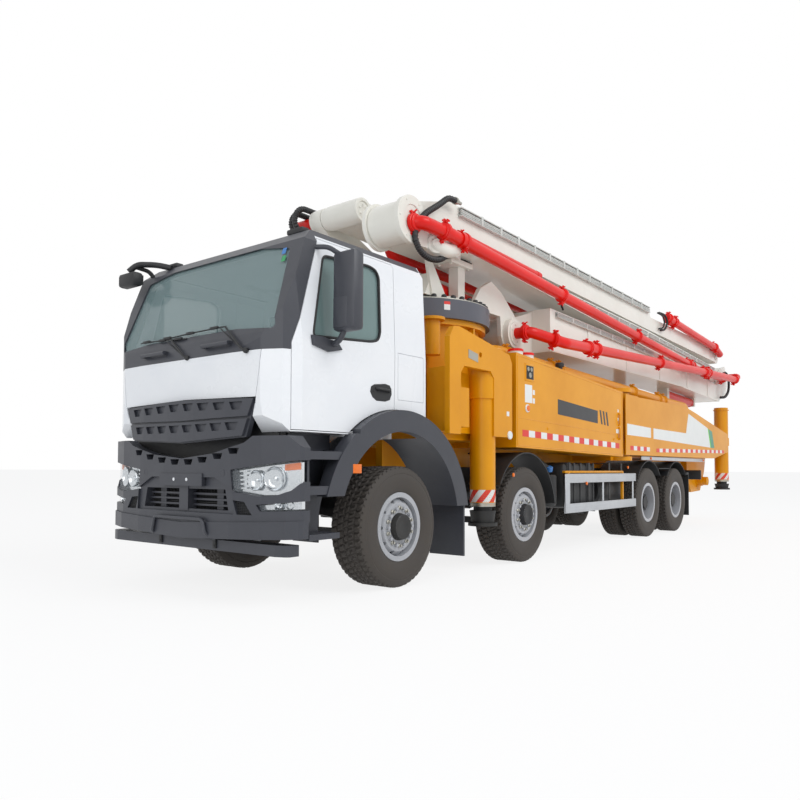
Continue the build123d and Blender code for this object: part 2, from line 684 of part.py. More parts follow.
def make_mudguards():
    axle_2 = AXLE_X[2]
    radius = 690
    second = guard_arc(axle_2, radius, 14, (800, 1210),
            640) & block((-3100, FRONT_LEG_X - LEG_RADIUS - 25), (700, 1300), (600, 1400))
    stay = block((axle_2 - 40, axle_2 + 40), (RAIL_Y + RAIL_FLANGE, 820), (TYRE_RADIUS + radius - 2,
            TYRE_RADIUS + radius + 14))
    rears = []
    for axle in (3, 4):
        x = AXLE_X[axle]
        rears.append(guard_arc(x, 640, 12, (560, 1210), 950))
    middle = (AXLE_X[3] + AXLE_X[4]) / 2
    joined = fused(rears + [block((middle - 250, middle + 250), (560, 1210), (1062, 1074))])
    stay_rear = block((middle - 40, middle + 40), (RAIL_Y + RAIL_FLANGE, 570), (1000, 1074))
    flap = block((AXLE_X[4] - 690, AXLE_X[4] - 670), (560, 1200), (240, 1000))
    flap_stay = block((AXLE_X[4] - 690, AXLE_X[4] - 560), (RAIL_Y + RAIL_FLANGE, 1200), (960, 1000))
    node("mudguards", both_sides(fused([second, stay])), both_sides(fused([joined, stay_rear, flap,
            flap_stay])))


def make_side_gear():
    x0, x1 = -5710, -3290
    posts = [block((x, x + 90), (1175, 1215), (470, 1230)) for x in (x0, -4540, x1 - 90)]
    rails = [block((x0, x1), (1175, 1215), (z, z + 120)) for z in (490, 870)]
    guard = fused(posts + rails)
    hanger = block((-4500, -4460), (RAIL_Y + RAIL_FLANGE, 1176), (940, 980))
    tank = block((-4400, -3400), (560, 1130), (560, 1130))
    ribs = [block((x, x + 30), (552, 1138), (552, 1138)) for x in range(-4340, -3420, 200)]
    tank_2 = rod((-5500, 850, 760), (-4620, 850, 760), 250)
    rear_rail = block((-9300, -5950), (1175, 1215), (1192, 1256))
    rear_stay = block((-7010, -6950), (RAIL_Y + RAIL_FLANGE + SEAT, 1180), (1196, 1250))
    node("side_guards", both_sides(fused([guard, hanger])), both_sides(fused([tank] + ribs)),
            both_sides(tank_2),
         both_sides(rear_rail + rear_stay))


# ------------------------------------------------------------------ pump superstructure
def beam_pocket(side):
    """The (x) range of the front outrigger beam of one side inside the cross box."""
    if side == "left":
        return (-1190, -770)
    return (-1810, -1390)


def make_base():
    low, high = CROSS_BOX_Z
    box = block(CROSS_BOX_X, (-CROSS_BOX_HALF, CROSS_BOX_HALF), CROSS_BOX_Z)
    beam_z = ((low + high) / 2 - BEAM_DEPTH / 2, (low + high) / 2 + BEAM_DEPTH / 2)
    for side in SIDES:
        x0, x1 = beam_pocket(side)
        pocket = block((x0 - GAP, x1 + GAP), (-HALF_WIDTH, HALF_WIDTH), (beam_z[0] - GAP, beam_z[1] + GAP))
        box = box - pocket
    sub = fused(both_sides(block((RAIL_REAR + 100, -650), (RAIL_Y, RAIL_Y + RAIL_FLANGE),
            (RAIL_TOP + SEAT, 1290))))
    riser = block((-2700, CROSS_BOX_X[1]), (-RAIL_Y - RAIL_FLANGE, RAIL_Y + RAIL_FLANGE), (1290, low))
    rear_block = block((-2650, CROSS_BOX_X[0]), (-640, 640), (1290, high))
    drum = Pos(SLEW_X, 0, 0) * Pos(0, 0, (high + RING_BOTTOM) / 2) * Cylinder(720, RING_BOTTOM - high)
    flange = Pos(SLEW_X, 0, RING_BOTTOM - 30 - SEAT) * Cylinder(800, 60)
    swivel = rod((-2200, 560, 2420), (-2200, 670 - SEAT, 2420), 95)
    gussets = []
    for index in range(8):
        angle = math.radians(45 * index)
        rib = block((700, 790), (-14, 14), (high + 40, RING_BOTTOM - 60))
        gussets.append(Pos(SLEW_X, 0, 0) * Rot(0, 0, math.degrees(angle)) * rib)
    tank_box = block((-5050, -2760), (-520, 520), (1290, 2150))
    px, py = SWING_PIVOT
    lugs = []
    for z in ((1180, 1240), (2190, 2250)):
        lug = fused([
            Pos(px, py, sum(z) / 2) * Cylinder(195, z[1] - z[0]),
            block((px - 195, px + 300), (380, py), z),
        ])
        lugs.append(lug)
    web = block((px + 170, px + 300), (380, py - 190), (1180, 2250))
    pin = rod((px, py, 1180), (px, py, 2250), 60)
    holder = fused([web] + lugs + [pin])
    motors = []
    for angle in (46, -46):
        x = SLEW_X + SLEW_MOTOR_CIRCLE * math.cos(math.radians(angle))
        y = SLEW_MOTOR_CIRCLE * math.sin(math.radians(angle))
        motors.append(rod((x, y, 2260), (x, y, RING_BOTTOM - 40), 88))
        motors.append(rod((x, y, RING_BOTTOM - 60), (x, y, RING_BOTTOM - 30), 140))
    body = fused([box, sub, riser, rear_block, drum, flange, tank_box, swivel] + gussets + motors)
    body = fused([body] + both_sides(holder))
    node("base_frame", body, make_lockers())

    ring = Pos(SLEW_X, 0, (RING_BOTTOM + RING_TOP) / 2) * Cylinder(RING_RADIUS, RING_TOP - RING_BOTTOM)
    node("slewing_ring", ring)


def make_lockers():
    """The two locker boxes, one along each side behind the front legs."""
    outline = [(-1990, 1290), (-1990, 2340), (-5120, 2165), (-5120, 1235)]
    locker = side_plate(outline, (LOCKER_INNER, HALF_WIDTH))
    return both_sides(locker)


def front_outrigger(side):
    """A beam that slides out of the cross box, with its arched head plate and leg tube."""
    middle = sum(CROSS_BOX_Z) / 2
    x0, x1 = beam_pocket(side)
    beam = block((x0, x1), (-CROSS_BOX_HALF + 5, HALF_WIDTH - 100), (middle - BEAM_DEPTH / 2,
            middle + BEAM_DEPTH / 2))
    outline = [
        (-1900, 1390), (-1517, 1390), (-1517, 2000), (-1450, 2070), (-950, 2070), (-887, 2000), (-887,
        1390),
        (-690, 1390), (-690, 2330), (-760, 2440), (-860, 2450), (-1600, 2330), (-1840, 2290), (-1900, 2200),
    ]
    plate = side_plate(outline, (HALF_WIDTH - 60, HALF_WIDTH))
    plate = plate - pin_bar((-1250, 2215), (HALF_WIDTH - 140, HALF_WIDTH + 60), 28)
    back = side_plate([(-1860, 1420), (-730, 1420), (-730, 2050), (-1860, 2050)],
            (CROSS_BOX_HALF + 15, CROSS_BOX_HALF + 75))
    webs = [block((x, x + 40), (CROSS_BOX_HALF + 15, HALF_WIDTH - 30), (1420, 2050)) for x in (-1860, -770)]
    z0, z1 = FRONT_LEG_Z
    tube = rod((FRONT_LEG_X, LEG_Y, z0), (FRONT_LEG_X, LEG_Y, z1), LEG_RADIUS)
    collar = rod((FRONT_LEG_X, LEG_Y, 1800), (FRONT_LEG_X, LEG_Y, 2060), LEG_RADIUS + 14)
    return fused([beam, plate, back, tube, collar] + webs)


def make_outriggers():
    for side in SIDES:
        head = front_outrigger(side)
        bore_z = (FRONT_LEG_Z[0] - 5, FRONT_LEG_Z[1] - 60)
        bore = rod((FRONT_LEG_X, LEG_Y, bore_z[0]), (FRONT_LEG_X, LEG_Y, bore_z[1]), LEG_RADIUS - LEG_WALL)
        node(f"outrigger_front_{side}", on_side(head - bore, side))
        node(f"jack_front_{side}", on_side(jack(FRONT_LEG_X, FRONT_LEG_Z, FRONT_FOOT_Z), side))
        node(f"outrigger_rear_{side}", on_side(rear_outrigger(), side))
        node(f"jack_rear_{side}", on_side(jack(REAR_LEG_X, REAR_LEG_Z, REAR_FOOT_Z), side))


def jack(x, leg_z, foot_z):
    """The ram of a leg with its bell-shaped foot and round plate."""
    ram = rod((x, LEG_Y, foot_z + 40), (x, LEG_Y, leg_z[1] - 200), RAM_RADIUS)
    plate = rod((x, LEG_Y, foot_z), (x, LEG_Y, foot_z + 34), FOOT_RADIUS)
    face = make_face(Polyline((0, foot_z + 34), (120, foot_z + 34), (140, leg_z[0] - 60),
            (0, leg_z[0] - 60), close=True))
    bell = Pos(x, LEG_Y, 0) * revolve(Plane.XZ * face, axis=Axis.Z)
    return fused([ram, plate, bell])


def rear_outrigger():
    """A long box arm that swings out from its pivot, with the leg at its end."""
    px, py = SWING_PIVOT
    bottom, top = 1262, 2150
    outline = [
        (px - 260, bottom), (px - 260, top - 10), (-8000, 2165), (-8700, 2080), (REAR_LEG_X + 160, 1790),
        (REAR_LEG_X + 60, 1760), (REAR_LEG_X + 60, 1420), (-9900, bottom + 10),
    ]
    box = side_plate(outline, (ARM_INNER, ARM_FACE))
    skin = side_plate([(px + 200, bottom), (px + 200, top), (px - 300, top), (px - 300, bottom)],
            (ARM_FACE - 14, ARM_FACE))
    hub = Pos(px, py, (1246 + 2184) / 2) * Cylinder(SWING_HUB, 2184 - 1246)
    neck = block((px - 300, px - 60), (py - 100, py + 100), (bottom + 10, top - 30))
    z0, z1 = REAR_LEG_Z
    tube = rod((REAR_LEG_X, LEG_Y, z0), (REAR_LEG_X, LEG_Y, z1), LEG_RADIUS)
    collar = rod((REAR_LEG_X, LEG_Y, 1560), (REAR_LEG_X, LEG_Y, 1700), LEG_RADIUS + 14)
    arm = fused([box, skin, hub, neck, tube, collar])
    leg_bore = rod((REAR_LEG_X, LEG_Y, z0 - 5), (REAR_LEG_X, LEG_Y, z1 - 60), LEG_RADIUS - LEG_WALL)
    pivot_bore = rod((px, py, 1100), (px, py, 2300), 60.3)
    return arm - leg_bore - pivot_bore


def make_pump():
    """The hopper with its rim, the two delivery cylinders and the pipe that runs forward to the turret."""
    outline = [(-9700, 1420), (-11050, 1420), (-10900, 1000), (-10600, 620), (-10000, 600), (-9720, 900)]
    inner_outline = [(-9740, 1440), (-11010, 1440), (-10860, 1010), (-10580, 660), (-10020, 640),
            (-9760, 910)]
    outer = side_plate(outline, (-760, 760))
    inner = side_plate(inner_outline, (-720, 720))
    rim = block((-11090, -9680), (-790, 790), (1380, 1420)) - block((-11010, -9740), (-720, 720),
            (1370, 1430))
    splash = block((-11110, -11080), (-790, 790), (1380, 1760))
    hopper = fused([(outer - inner) + rim] + [splash])
    hopper = fused([hopper] + [block((-11040, -9710), (y - 8, y + 8), (1392, 1416)) for y in range(-640,
            641, 160)])
    cylinders = [rod((-5066, y, 1500), (-9690, y, 1055), 125) for y in (-210, 210)]
    cylinders = [cylinder - outer for cylinder in cylinders]
    delivery = pipe([
        (-9560, 500, 1150), (-9560, 850, 1400), (-9300, 850, 2260), (-8200, 850, 2270), (-2500, 850, 2400),
        (-2200, 850, 2420), (-2200, 670, 2420),
    ], 78, (180, 180, 180, 180, 120))
    node("concrete_pump", hopper, cylinders, delivery)


# ------------------------------------------------------------------ turret and boom
def make_turret():
    floor = TURRET_FLOOR
    base = Pos(SLEW_X, 0, floor) * Cylinder(700, 60)
    cheek = [
        (-1150, floor), (-1420, 3300), (-1600, 3360), (-2500, 3360), (-3060, 3010), (-3190,
        2830), (-3170, 2640),
        (-2980, 2520), (-2800, 2560), (-2730, 2700), (-2710, floor),
    ]
    body = side_plate(cheek, (-420, 92))
    rear_cheek = [
        (-2050, floor), (-2250, 3200), (-2500, 3330), (-2750, 3230), (-3060, 3010), (-3190,
        2830), (-3170, 2640),
        (-2980, 2520), (-2800, 2560), (-2730, 2700), (-2710, floor),
    ]
    plate = side_plate(rear_cheek, (568, 622))
    gusset = side_plate([(-1300, floor), (-1190, 3300), (-1300, 3300), (-1580, floor)], (568, 600))
    bridge = side_plate([(-1180, floor), (-1330, 3200), (-1400, 3200), (-1420, floor)], (80, 580))
    boss = pin_bar(PIN[1], (600, 700), 190)
    pin = pin_bar(PIN[1], (60, 600), 90)
    post = block((-2000, -1860), (430, 560), (floor, 3400))
    saddle = block((-2080, -1640), (380, 620), (3380, 3440))
    foot = block((-2090, -1770), (390, 560), (floor, floor + 60))
    node("turret", fused([base, body, plate, gusset, bridge, boss, pin, post, saddle, foot]))
    barrel = rod((-1600, 310, 3120), (-2450, 310, 3080), 105)
    node("lines_turret", barrel)


def arm_1():
    root = side_plate([
        (-2950, 2556), (-3700, 2605), (-3700, 3180), (-3350, 3060), (-2950, 2944),
    ], (100, 560))
    beam = side_plate([
        (-3650, 2604), (-9300, 2640), (-11900, 2560), (-11900, 2900), (-7600, 3130), (-3650, 3180),
    ], LANE[1])
    boss = pin_bar(PIN[1], (100, 560), 195)
    ears = []
    for y in ((LANE[1][0], LANE[1][0] + 57), (LANE[1][1] - 57, LANE[1][1])):
        ears.append(side_plate([
            (-11700, 2560), (-12400, 2700), (-12560, 2980), (-12560, 3200), (-12350, 3380), (-12100,
            3300), (-11700, 2930),
        ], y))
    pin = pin_bar(PIN[2], (LANE[1][0] + 20, LANE[1][1] - 20), 90)
    lug = block((-9360, -9240), (350, 550), (2440, 2660))
    lug_end = block((-11060, -10980), (350, 550), (2400, 2610))
    flanges = [side_plate([(-3660, z), (-9300, z + 36), (-9300, z + 58), (-3660, z + 22)],
            (LANE[1][1] - 2, LANE[1][1] + 24)) for z in (2604,)]
    arm = fused([root, beam, boss, pin, lug, lug_end] + ears + flanges)
    return arm - pin_bar(PIN[1], (0, 700), 90.3)


def arm_2():
    beam = side_plate([
        (-880, 3470), (-2000, 3470), (-7600, 3170), (-11850, 2965), (-12100, 3000), (-12100,
        3290), (-7600, 3480), (-880, 3600),
    ], LANE[2])
    boss = pin_bar(PIN[2], LANE[2], 230)
    px, pz = PIN[3]
    far = (EAR_3[0], EAR_3[0] + 40)
    near = (EAR_3[1] - 40, EAR_3[1])
    far_ear = side_plate([(-990, 3470), (px, pz - 225), (px + 120, pz - 180), (px + 120, pz + 180),
            (px, pz + 225), (-950, 3600)], far)
    near_ear = side_plate([(-1500, 3480), (-1500, 3330), (px - 60, pz - 230), (px, pz), (px, pz + 230),
            (-1150, 3600)], near)
    ears = [far_ear, near_ear, pin_bar(PIN[3], far, 240), pin_bar(PIN[3], near, 240)]
    web = block((-1480, -1100), (LANE[2][1] - 40, EAR_3[1] - 20), (3476, 3590))
    cut = block((-945, -300), (LANE[2][0] - 5, LANE[2][1] + 5), (3200, 3800))
    pin = pin_bar(PIN[3], (EAR_3[0] + 20, EAR_3[1] - 20), 80)
    arm = fused([beam - cut, boss, web, pin] + ears)
    return arm - pin_bar(PIN[2], (0, 900), 90.3)


def arm_3():
    y = LANE[3]
    between = (EAR_3[0] + 40 + GAP, EAR_3[1] - 40 - GAP)
    drum = pin_bar(PIN[3], between, 210)
    neck = side_plate([
        (-620, 3620), (-800, 3640), (-1400, 3640), (-1400, 3900), (-1200, 3900), (-640, 3738),
    ], (between[0], LANE[3][1]))
    beam = side_plate([
        (-1180, 3645), (-7600, 3505), (-11900, 3435), (-11900, 3740), (-7700, 3740), (-7600,
        3900), (-1330, 3950), (-1180, 3880),
    ], y)
    boss = pin_bar(PIN[4], y, 190)
    pin = pin_bar(PIN[4], (LANE[4][0] - 20, y[0] + 20), 90)
    cap = pin_bar(PIN[4], (LANE[4][0] - 50, LANE[4][0] - GAP), 170)
    flange = pin_bar(PIN[4], (LANE[4][1] + GAP, y[0] + 20), 170)
    return fused([drum, neck, beam, boss, pin, cap, flange]) - pin_bar(PIN[3], (0, 900), 80.3)


def arm_4():
    y = LANE[4]
    beam = side_plate([
        (-11950, 3440), (-750, 3720), (-700, 3830), (-750, 3935), (-7600, 3880), (-11950, 3770),
    ], y)
    root = pin_bar(PIN[4], y, 185)
    tip = pin_bar(PIN[5], y, 135)
    pin = pin_bar(PIN[5], (LANE[5][1] - 160, y[0] + 20), 75)
    cap = pin_bar(PIN[5], (LANE[5][1] - 130 - GAP - 36, LANE[5][1] - 130 - GAP), 125)
    flange = pin_bar(PIN[5], (LANE[5][1] + GAP, y[0] + 20), 125)
    return fused([beam, root, tip, pin, cap, flange]) - pin_bar(PIN[4], (-500, 300), 90.3)


def arm_5():
    """The root hub hangs the beam below its pin, so that arm 5 lies under the top of the stack."""
    y = LANE[5]
    px, pz = PIN[5]
    beam = side_plate([
        (-1250, 3330), (-9500, 3215), (-9650, 3230), (-9650, 3440), (-1350, 3650),
    ], y)
    hub_y = (y[1] - 130, y[1])
    root = pin_bar(PIN[5], hub_y, 130)
    neck = side_plate([(px + 90, pz - 95), (px - 90, pz + 95), (-1600, 3620), (-1500, 3360),
            (-1250, 3330)], hub_y)
    ears = []
    for pair in ((y[0], y[0] + 40), (y[1] - 40, y[1])):
        ears.append(side_plate([(-9500, 3215), (-9800, 3180), (-9950, 3250), (-9950, 3400),
                (-9800, 3470), (-9500, 3430)], pair))
    cut = block((-10200, -9590), (y[0] + 40, y[1] - 40), (3000, 3700))
    pin = pin_bar(PIN[6], (y[0] + 10, y[1] - 10), 65)
    return fused([beam - cut, root, neck, pin] + ears) - pin_bar(PIN[5], (-1000, -300), 75.3)


def arm_6():
    y = (LANE[6][0], LANE[6][1])
    slope = (PIN[5][1] - PIN[6][1]) / (PIN[5][0] - PIN[6][0])
    offset_up = 150

    def over(x, rise):
        return (x, PIN[6][1] + slope * (x - PIN[6][0]) + offset_up + rise)

    beam = side_plate([over(-9800, 0), over(-3500, 0), over(-3500, 150), over(-9800, 190)], y)
    neck = side_plate([(-9920, 3330), (-9700, 3330), (-9650, 3490), over(-9500, 10), over(-9500, 180),
            over(-9920, 190)], y)
    boss = pin_bar(PIN[6], y, 118)
    return fused([beam, neck, boss]) - pin_bar(PIN[6], (-1000, -300), 65.3)


def clamps(places, y, width=70, radius=86):
    """Couplings round a pipe, from (x, z) places."""
    return [rod((x - width / 2, y, z), (x + width / 2, y, z), radius) for x, z in places]


def make_boom():
    make_turret()
    for name, builder in (("arm_1", arm_1), ("arm_2", arm_2), ("arm_3", arm_3), ("arm_4", arm_4),
            ("arm_5", arm_5), ("arm_6", arm_6)):
        node(name, builder())

    y = BOOM_PIPE_Y[1]
    low = pipe([
        (PIN[1][0], 712, PIN[1][1]), (PIN[1][0], 900, PIN[1][1]), (-3500, y, 2660), (-9840, y,
        2960), (-12050, y, 3040),
        (PIN[2][0], y, PIN[2][1]), (PIN[2][0], y - 128, PIN[2][1]),
    ], bend=(110, 110, 300, 200, 76))
    barrel = rod((-9366, 450, 2533), (-10974, 450, 2481), 90)
    node("lines_1", fused([low] + clamps([(-4200, 2693), (-9840, 2960)], y)), barrel)

    y = BOOM_PIPE_Y[2]
    middle = pipe([
        (PIN[3][0], EAR_3[1] + 1, 3490), (PIN[3][0], 940, 3490), (-1100, y, 3480), (-9840, y,
        3030), (-12000, 902, 3060),
        (PIN[2][0], 902, PIN[2][1]), (PIN[2][0], 985, PIN[2][1]),
    ], bend=(90, 100, 300, 200, 76))
    thin = rod((-3300, 832, 3530), (-1530, 832, 3580), 52)
    joints = [(-1300, 3470), (-3740, 3344), (-6500, 3202), (-9300, 3058)]
    node("lines_2", fused([middle] + clamps(joints, y)), thin)

    third = pipe([(-8300, 850, 3830), (-11500, 850, 3700), (-11900, 850, 3600)], bend=150)
    node("lines_3", fused([third] + clamps([(-8700, 3814)], 850)))

    fourth = pipe([
        (-11300, -160, 3448), (-11300, -160, 3330), (-1500, -160, 3560), (-1500, -160, 3690),
    ], bend=110)
    node("lines_4", fourth)

    y = LANE[5][0] - PIPE_RADIUS - 15
    px, pz = PIN[5]
    fifth = pipe([
        (px, LANE[5][1] - 180, pz), (px, y, pz), (-1350, y, 3560), (-9500, y, 3330), (PIN[6][0], y,
        PIN[6][1]),
        (PIN[6][0], LANE[5][0] - 1, PIN[6][1]),
    ], bend=(110, 200, 300, 76))
    node("lines_5", fifth)
    node("hoses_5", hose_loops())


def hose_loops():
    """Two bundles of hydraulic hoses that loop round the front of the fifth hinge in ribbed sleeves."""
    px, pz = PIN[5]
    loops = []
    for y, reach, rise in HOSE_LOOPS:
        path = [
            (px - 620, y, pz - 40), (px - 340, y, pz + rise), (px + reach * 0.7, y, pz + rise),
            (px + reach, y, pz - 60), (px + 60, y, pz - reach * 0.8), (px - 560, y, pz - reach * 0.62),
        ]
        loops.append(pipe(path, 34, (120, 150, 120, 120)))
    return loops


# ------------------------------------------------------------------ build
make_wheels()
make_axles()
make_chassis()
make_cab()
make_mudguards()
make_side_gear()
make_base()
make_outriggers()
make_pump()
make_boom()

REAR_X = min(solid.bounding_box().min.X for solids in NODES.values() for solid in solids)
FRONT_X = max(solid.bounding_box().max.X for solids in NODES.values() for solid in solids)
ORIGIN_X = (FRONT_X + REAR_X) / 2
for name, solids in NODES.items():
    moved = [Pos(-ORIGIN_X, 0, 0) * solid for solid in solids]
    export_step(moved[0] if len(moved) == 1 else Compound(children=moved), f"parts/{name}.step")
print("nodes", len(NODES), "from", round(REAR_X), "to", round(FRONT_X), "origin at", round(ORIGIN_X, 3))
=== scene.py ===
# %% [markdown]
# # A truck-mounted concrete pump
# The construction comes as a fixed frame of parts, in metres: +X is forward, +Y is the left-hand
# side, and the wheels stand on z = 0. This lesson dresses those parts in the paint, rubber, glass
# and fittings of the real machine.

# %% Load the construction
import math

import bmesh
import bpy
from mathutils import Matrix, Vector


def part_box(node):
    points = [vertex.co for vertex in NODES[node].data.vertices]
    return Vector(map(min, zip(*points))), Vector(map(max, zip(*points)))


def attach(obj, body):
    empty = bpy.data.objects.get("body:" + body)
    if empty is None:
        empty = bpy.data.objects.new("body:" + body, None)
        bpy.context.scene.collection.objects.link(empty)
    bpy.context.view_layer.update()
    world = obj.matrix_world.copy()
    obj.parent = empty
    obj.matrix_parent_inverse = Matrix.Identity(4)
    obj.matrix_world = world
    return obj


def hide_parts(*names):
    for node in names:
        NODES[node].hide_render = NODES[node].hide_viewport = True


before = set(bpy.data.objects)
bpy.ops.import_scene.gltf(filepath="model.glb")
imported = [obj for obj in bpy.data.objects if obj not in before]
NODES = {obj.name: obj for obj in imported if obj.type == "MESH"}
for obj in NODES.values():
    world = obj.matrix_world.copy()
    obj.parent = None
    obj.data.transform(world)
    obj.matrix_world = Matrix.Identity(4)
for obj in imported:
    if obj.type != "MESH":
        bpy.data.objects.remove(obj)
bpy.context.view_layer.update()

# %% [markdown]
# ## Where things are
# Sizes are read from the construction wherever it knows them, so that each fitting lands on the
# part that carries it. The first axle is the anchor: most lengths are counted from it.

# %% Anchors
SIDES = {"left": 1, "right": -1}
AHEAD, LEFT, UP = Vector((1, 0, 0)), Vector((0, 1, 0)), Vector((0, 0, 1))


def middle(node):
    low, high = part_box(node)
    return (Vector(low) + Vector(high)) / 2


AXLE = {number: middle(f"tyre_{number}_left").x for number in (1, 2, 3, 4)}
AXLE_1 = AXLE[1]
TYRE_RADIUS = middle("tyre_1_left").z
print("axles", [round(x, 3) for x in AXLE.values()], "tyre radius", round(TYRE_RADIUS, 4))

# %% [markdown]
# ## Colour
# Paint colours are written as sRGB hex values, as on a colour card. The shaders want linear
# light, so one function turns the one into the other.

# %% Colour helper
def linear(code):
    """'#rrggbb' to linear RGBA."""
    channels = [int(code[index:index + 2], 16) / 255 for index in (1, 3, 5)]
    curved = [c / 12.92 if c <= 0.04045 else ((c + 0.055) / 1.055) ** 2.4 for c in channels]
    return (*curved, 1.0)


# %% [markdown]
# ## One helper for shader nodes
# A finish is a small graph. This helper adds one node with its settings and links, so that each
# material below reads like a recipe.

# %% Node helper
def add(owner, kind, settings=None, links=None):
    """Adds a node to a material or a world.

    settings go to sockets, by name or index, or to attributes. links are (input, node, output).
    """
    tree = owner.node_tree
    made = tree.nodes.new(kind)
    for key, value in (settings or {}).items():
        if isinstance(key, int) or key in made.inputs:
            made.inputs[key].default_value = value
        else:
            setattr(made, key, value)
    for target, source, output in links or []:
        tree.links.new(source.outputs[output], made.inputs[target])
    return made


def empty_material(name):
    material = bpy.data.materials.new(name)
    material.use_nodes = True
    material.node_tree.nodes.clear()
    return material


# %% [markdown]
# ## Paint
# The cab, the pump and the boom are sprayed with two-pack enamel: a coloured coat that levels out
# to a smooth gloss, with the faint waviness called orange peel. A few tenths of a millimetre of
# road dust dulls the low places, so roughness and colour wander a little over large patches.

# %% Sprayed enamel
ORANGE_PEEL_MM = 9.0     # real peel is 2 to 4 mm; drawn coarser so that it still shows from afar
PEEL_STRENGTH = 0.012
BUMP_REACH = 0.002
PATCH_MM = 700.0
PAINT_IOR = 1.38


def surface(name, colours, roughness, tone, bump, settings):
    """A finish that drifts between two colours and two roughnesses.

    tone is (size in mm, detail, the low and the high end of the drift). bump is (size in mm,
    detail, roughness of the noise, strength), or None. settings go to the shader.
    """
    material = empty_material(name)
    where = add(material, "ShaderNodeTexCoord")
    size_mm, detail, low, high = tone
    patches = add(material, "ShaderNodeTexNoise",
                  {"Scale": 1000.0 / size_mm, "Detail": detail, "Roughness": 0.6},
                  [("Vector", where, "Object")])
    drift = add(material, "ShaderNodeMapRange", {"From Min": low, "From Max": high},
                [("Value", patches, "Fac")])
    mix = add(material, "ShaderNodeMix", {"data_type": "RGBA", 6: linear(colours[0]), 7: linear(colours[1])},
              [(0, drift, "Result")])
    rough = add(material, "ShaderNodeMapRange", {"To Min": roughness[0], "To Max": roughness[1]},
                [("Value", patches, "Fac")])
    links = [("Base Color", mix, 2), ("Roughness", rough, "Result")]
    if bump:
        size_mm, detail, noise, strength = bump
        grain = add(material, "ShaderNodeTexNoise",
                    {"Scale": 1000.0 / size_mm, "Detail": detail, "Roughness": noise},
                    [("Vector", where, "Object")])
        relief = add(material, "ShaderNodeBump", {"Strength": strength, "Distance": BUMP_REACH},
                     [("Height", grain, "Fac")])
        links.append(("Normal", relief, "Normal"))
    shader = add(material, "ShaderNodeBsdfPrincipled", settings, links)
    add(material, "ShaderNodeOutputMaterial", links=[("Surface", shader, "BSDF")])
    return material


def enamel(name, code, worn, roughness=0.28, coat=0.35):
    """Sprayed enamel. worn is the colour it drifts to in large soft patches."""
    return surface(name, (code, worn), (roughness - 0.05, roughness + 0.1), (PATCH_MM, 4.0, 0.35, 0.75),
                   (ORANGE_PEEL_MM, 2.0, 0.5, PEEL_STRENGTH),
                   {"IOR": PAINT_IOR, "Coat Weight": coat, "Coat Roughness": 0.08})


CAB_WHITE = enamel("cab_white_enamel", "#eceef0", "#e3e6ea", 0.26)
PUMP_YELLOW = enamel("pump_yellow_enamel", "#e39a00", "#d68d00", 0.36, 0.06)
BOOM_WHITE = enamel("boom_ivory_enamel", "#eae8df", "#e1dfd5", 0.34)
LINE_RED = enamel("delivery_line_red_enamel", "#e81004", "#d80c02", 0.32, 0.08)
RING_GREY = enamel("slewing_ring_grey_enamel", "#5b5d66", "#50525a", 0.42, 0.15)
FRAME_BLACK = enamel("chassis_black_enamel", "#2b2c2f", "#3a3936", 0.5, 0.0)
RIM_SILVER = enamel("wheel_silver_enamel", "#b4b6ba", "#a2a4a8", 0.34, 0.2)
print("paints", [material.name for material in bpy.data.materials])

# %% [markdown]
# ## Plastics, rubber, metal and glass
# The bumper and the steps are polypropylene moulded with a fine leather grain, which scatters the
# light into a soft grey sheen. Tyre tread is carbon-black rubber, dusty on its face. Guards are
# extruded aluminium with a satin drawn surface. Glass is laminated and faintly green; the
# windscreen's pale tone is partly painted reflection. Lenses are clear acrylic, and the stickers
# and tapes are vinyl films or films filled with glass beads.

# %% Plain finishes
TONE_MM = 160.0


def finish(name, code, other, roughness, metallic=0.0, grain_mm=None, depth=0.2, ior=1.5):
    """A moulded, drawn or cast surface. grain_mm gives the size of its texture."""
    return surface(name, (code, other), (roughness - 0.06, roughness + 0.06), (TONE_MM, 3.0, 0.0, 1.0),
                   (grain_mm, 3.0, 0.6, depth) if grain_mm else None, {"Metallic": metallic, "IOR": ior})


def glass(name, code, clear):
    """Laminated glass as a thin tinted sheet: clear is how much of what is behind comes through. The
    windscreen's pale colour is partly painted reflection.
    """
    material = empty_material(name)
    shader = add(material, "ShaderNodeBsdfPrincipled",
                 {"Base Color": linear(code), "Roughness": 0.02, "IOR": 1.52, "Alpha": 1.0 - clear})
    add(material, "ShaderNodeOutputMaterial", links=[("Surface", shader, "BSDF")])
    return material


PLASTIC = {"grain_mm": 7.0, "ior": 1.49}
LENS = {"grain_mm": 12.0, "depth": 0.15, "ior": 1.49}
BEADED = {"grain_mm": 6.0, "depth": 0.06}
VINYL = {"grain_mm": 8.0, "depth": 0.04}
GREY_PP = finish("moulded_grey_polypropylene", "#3f4148", "#383a41", 0.42, depth=0.1, **PLASTIC)
BLACK_PP = finish("moulded_black_polypropylene", "#1d1e20", "#242527", 0.55, depth=0.15, **PLASTIC)
TYRE_RUBBER = finish("carbon_black_tyre_rubber", "#3d3937", "#464039", 0.74, grain_mm=14.0, ior=1.52)
HOSE_RUBBER = finish("corrugated_hose_rubber", "#18181a", "#202022", 0.5, grain_mm=20.0, depth=0.1, ior=1.52)
SEAL_RUBBER = finish("extruded_seal_rubber", "#141416", "#1a1a1c", 0.62, grain_mm=9.0, depth=0.08, ior=1.52)
DRAWN_ALUMINIUM = finish("drawn_aluminium", "#c9ccd0", "#b9bcc1", 0.36, 1.0, 24.0, 0.05)
TRAY_ALUMINIUM = finish("slotted_tray_aluminium", "#d2d3cf", "#c4c6c2", 0.46, 0.35, 30.0, 0.08)
ZINC_STEEL = finish("zinc_plated_steel", "#b8b6ae", "#a6a59c", 0.38, 1.0, 12.0, 0.1)
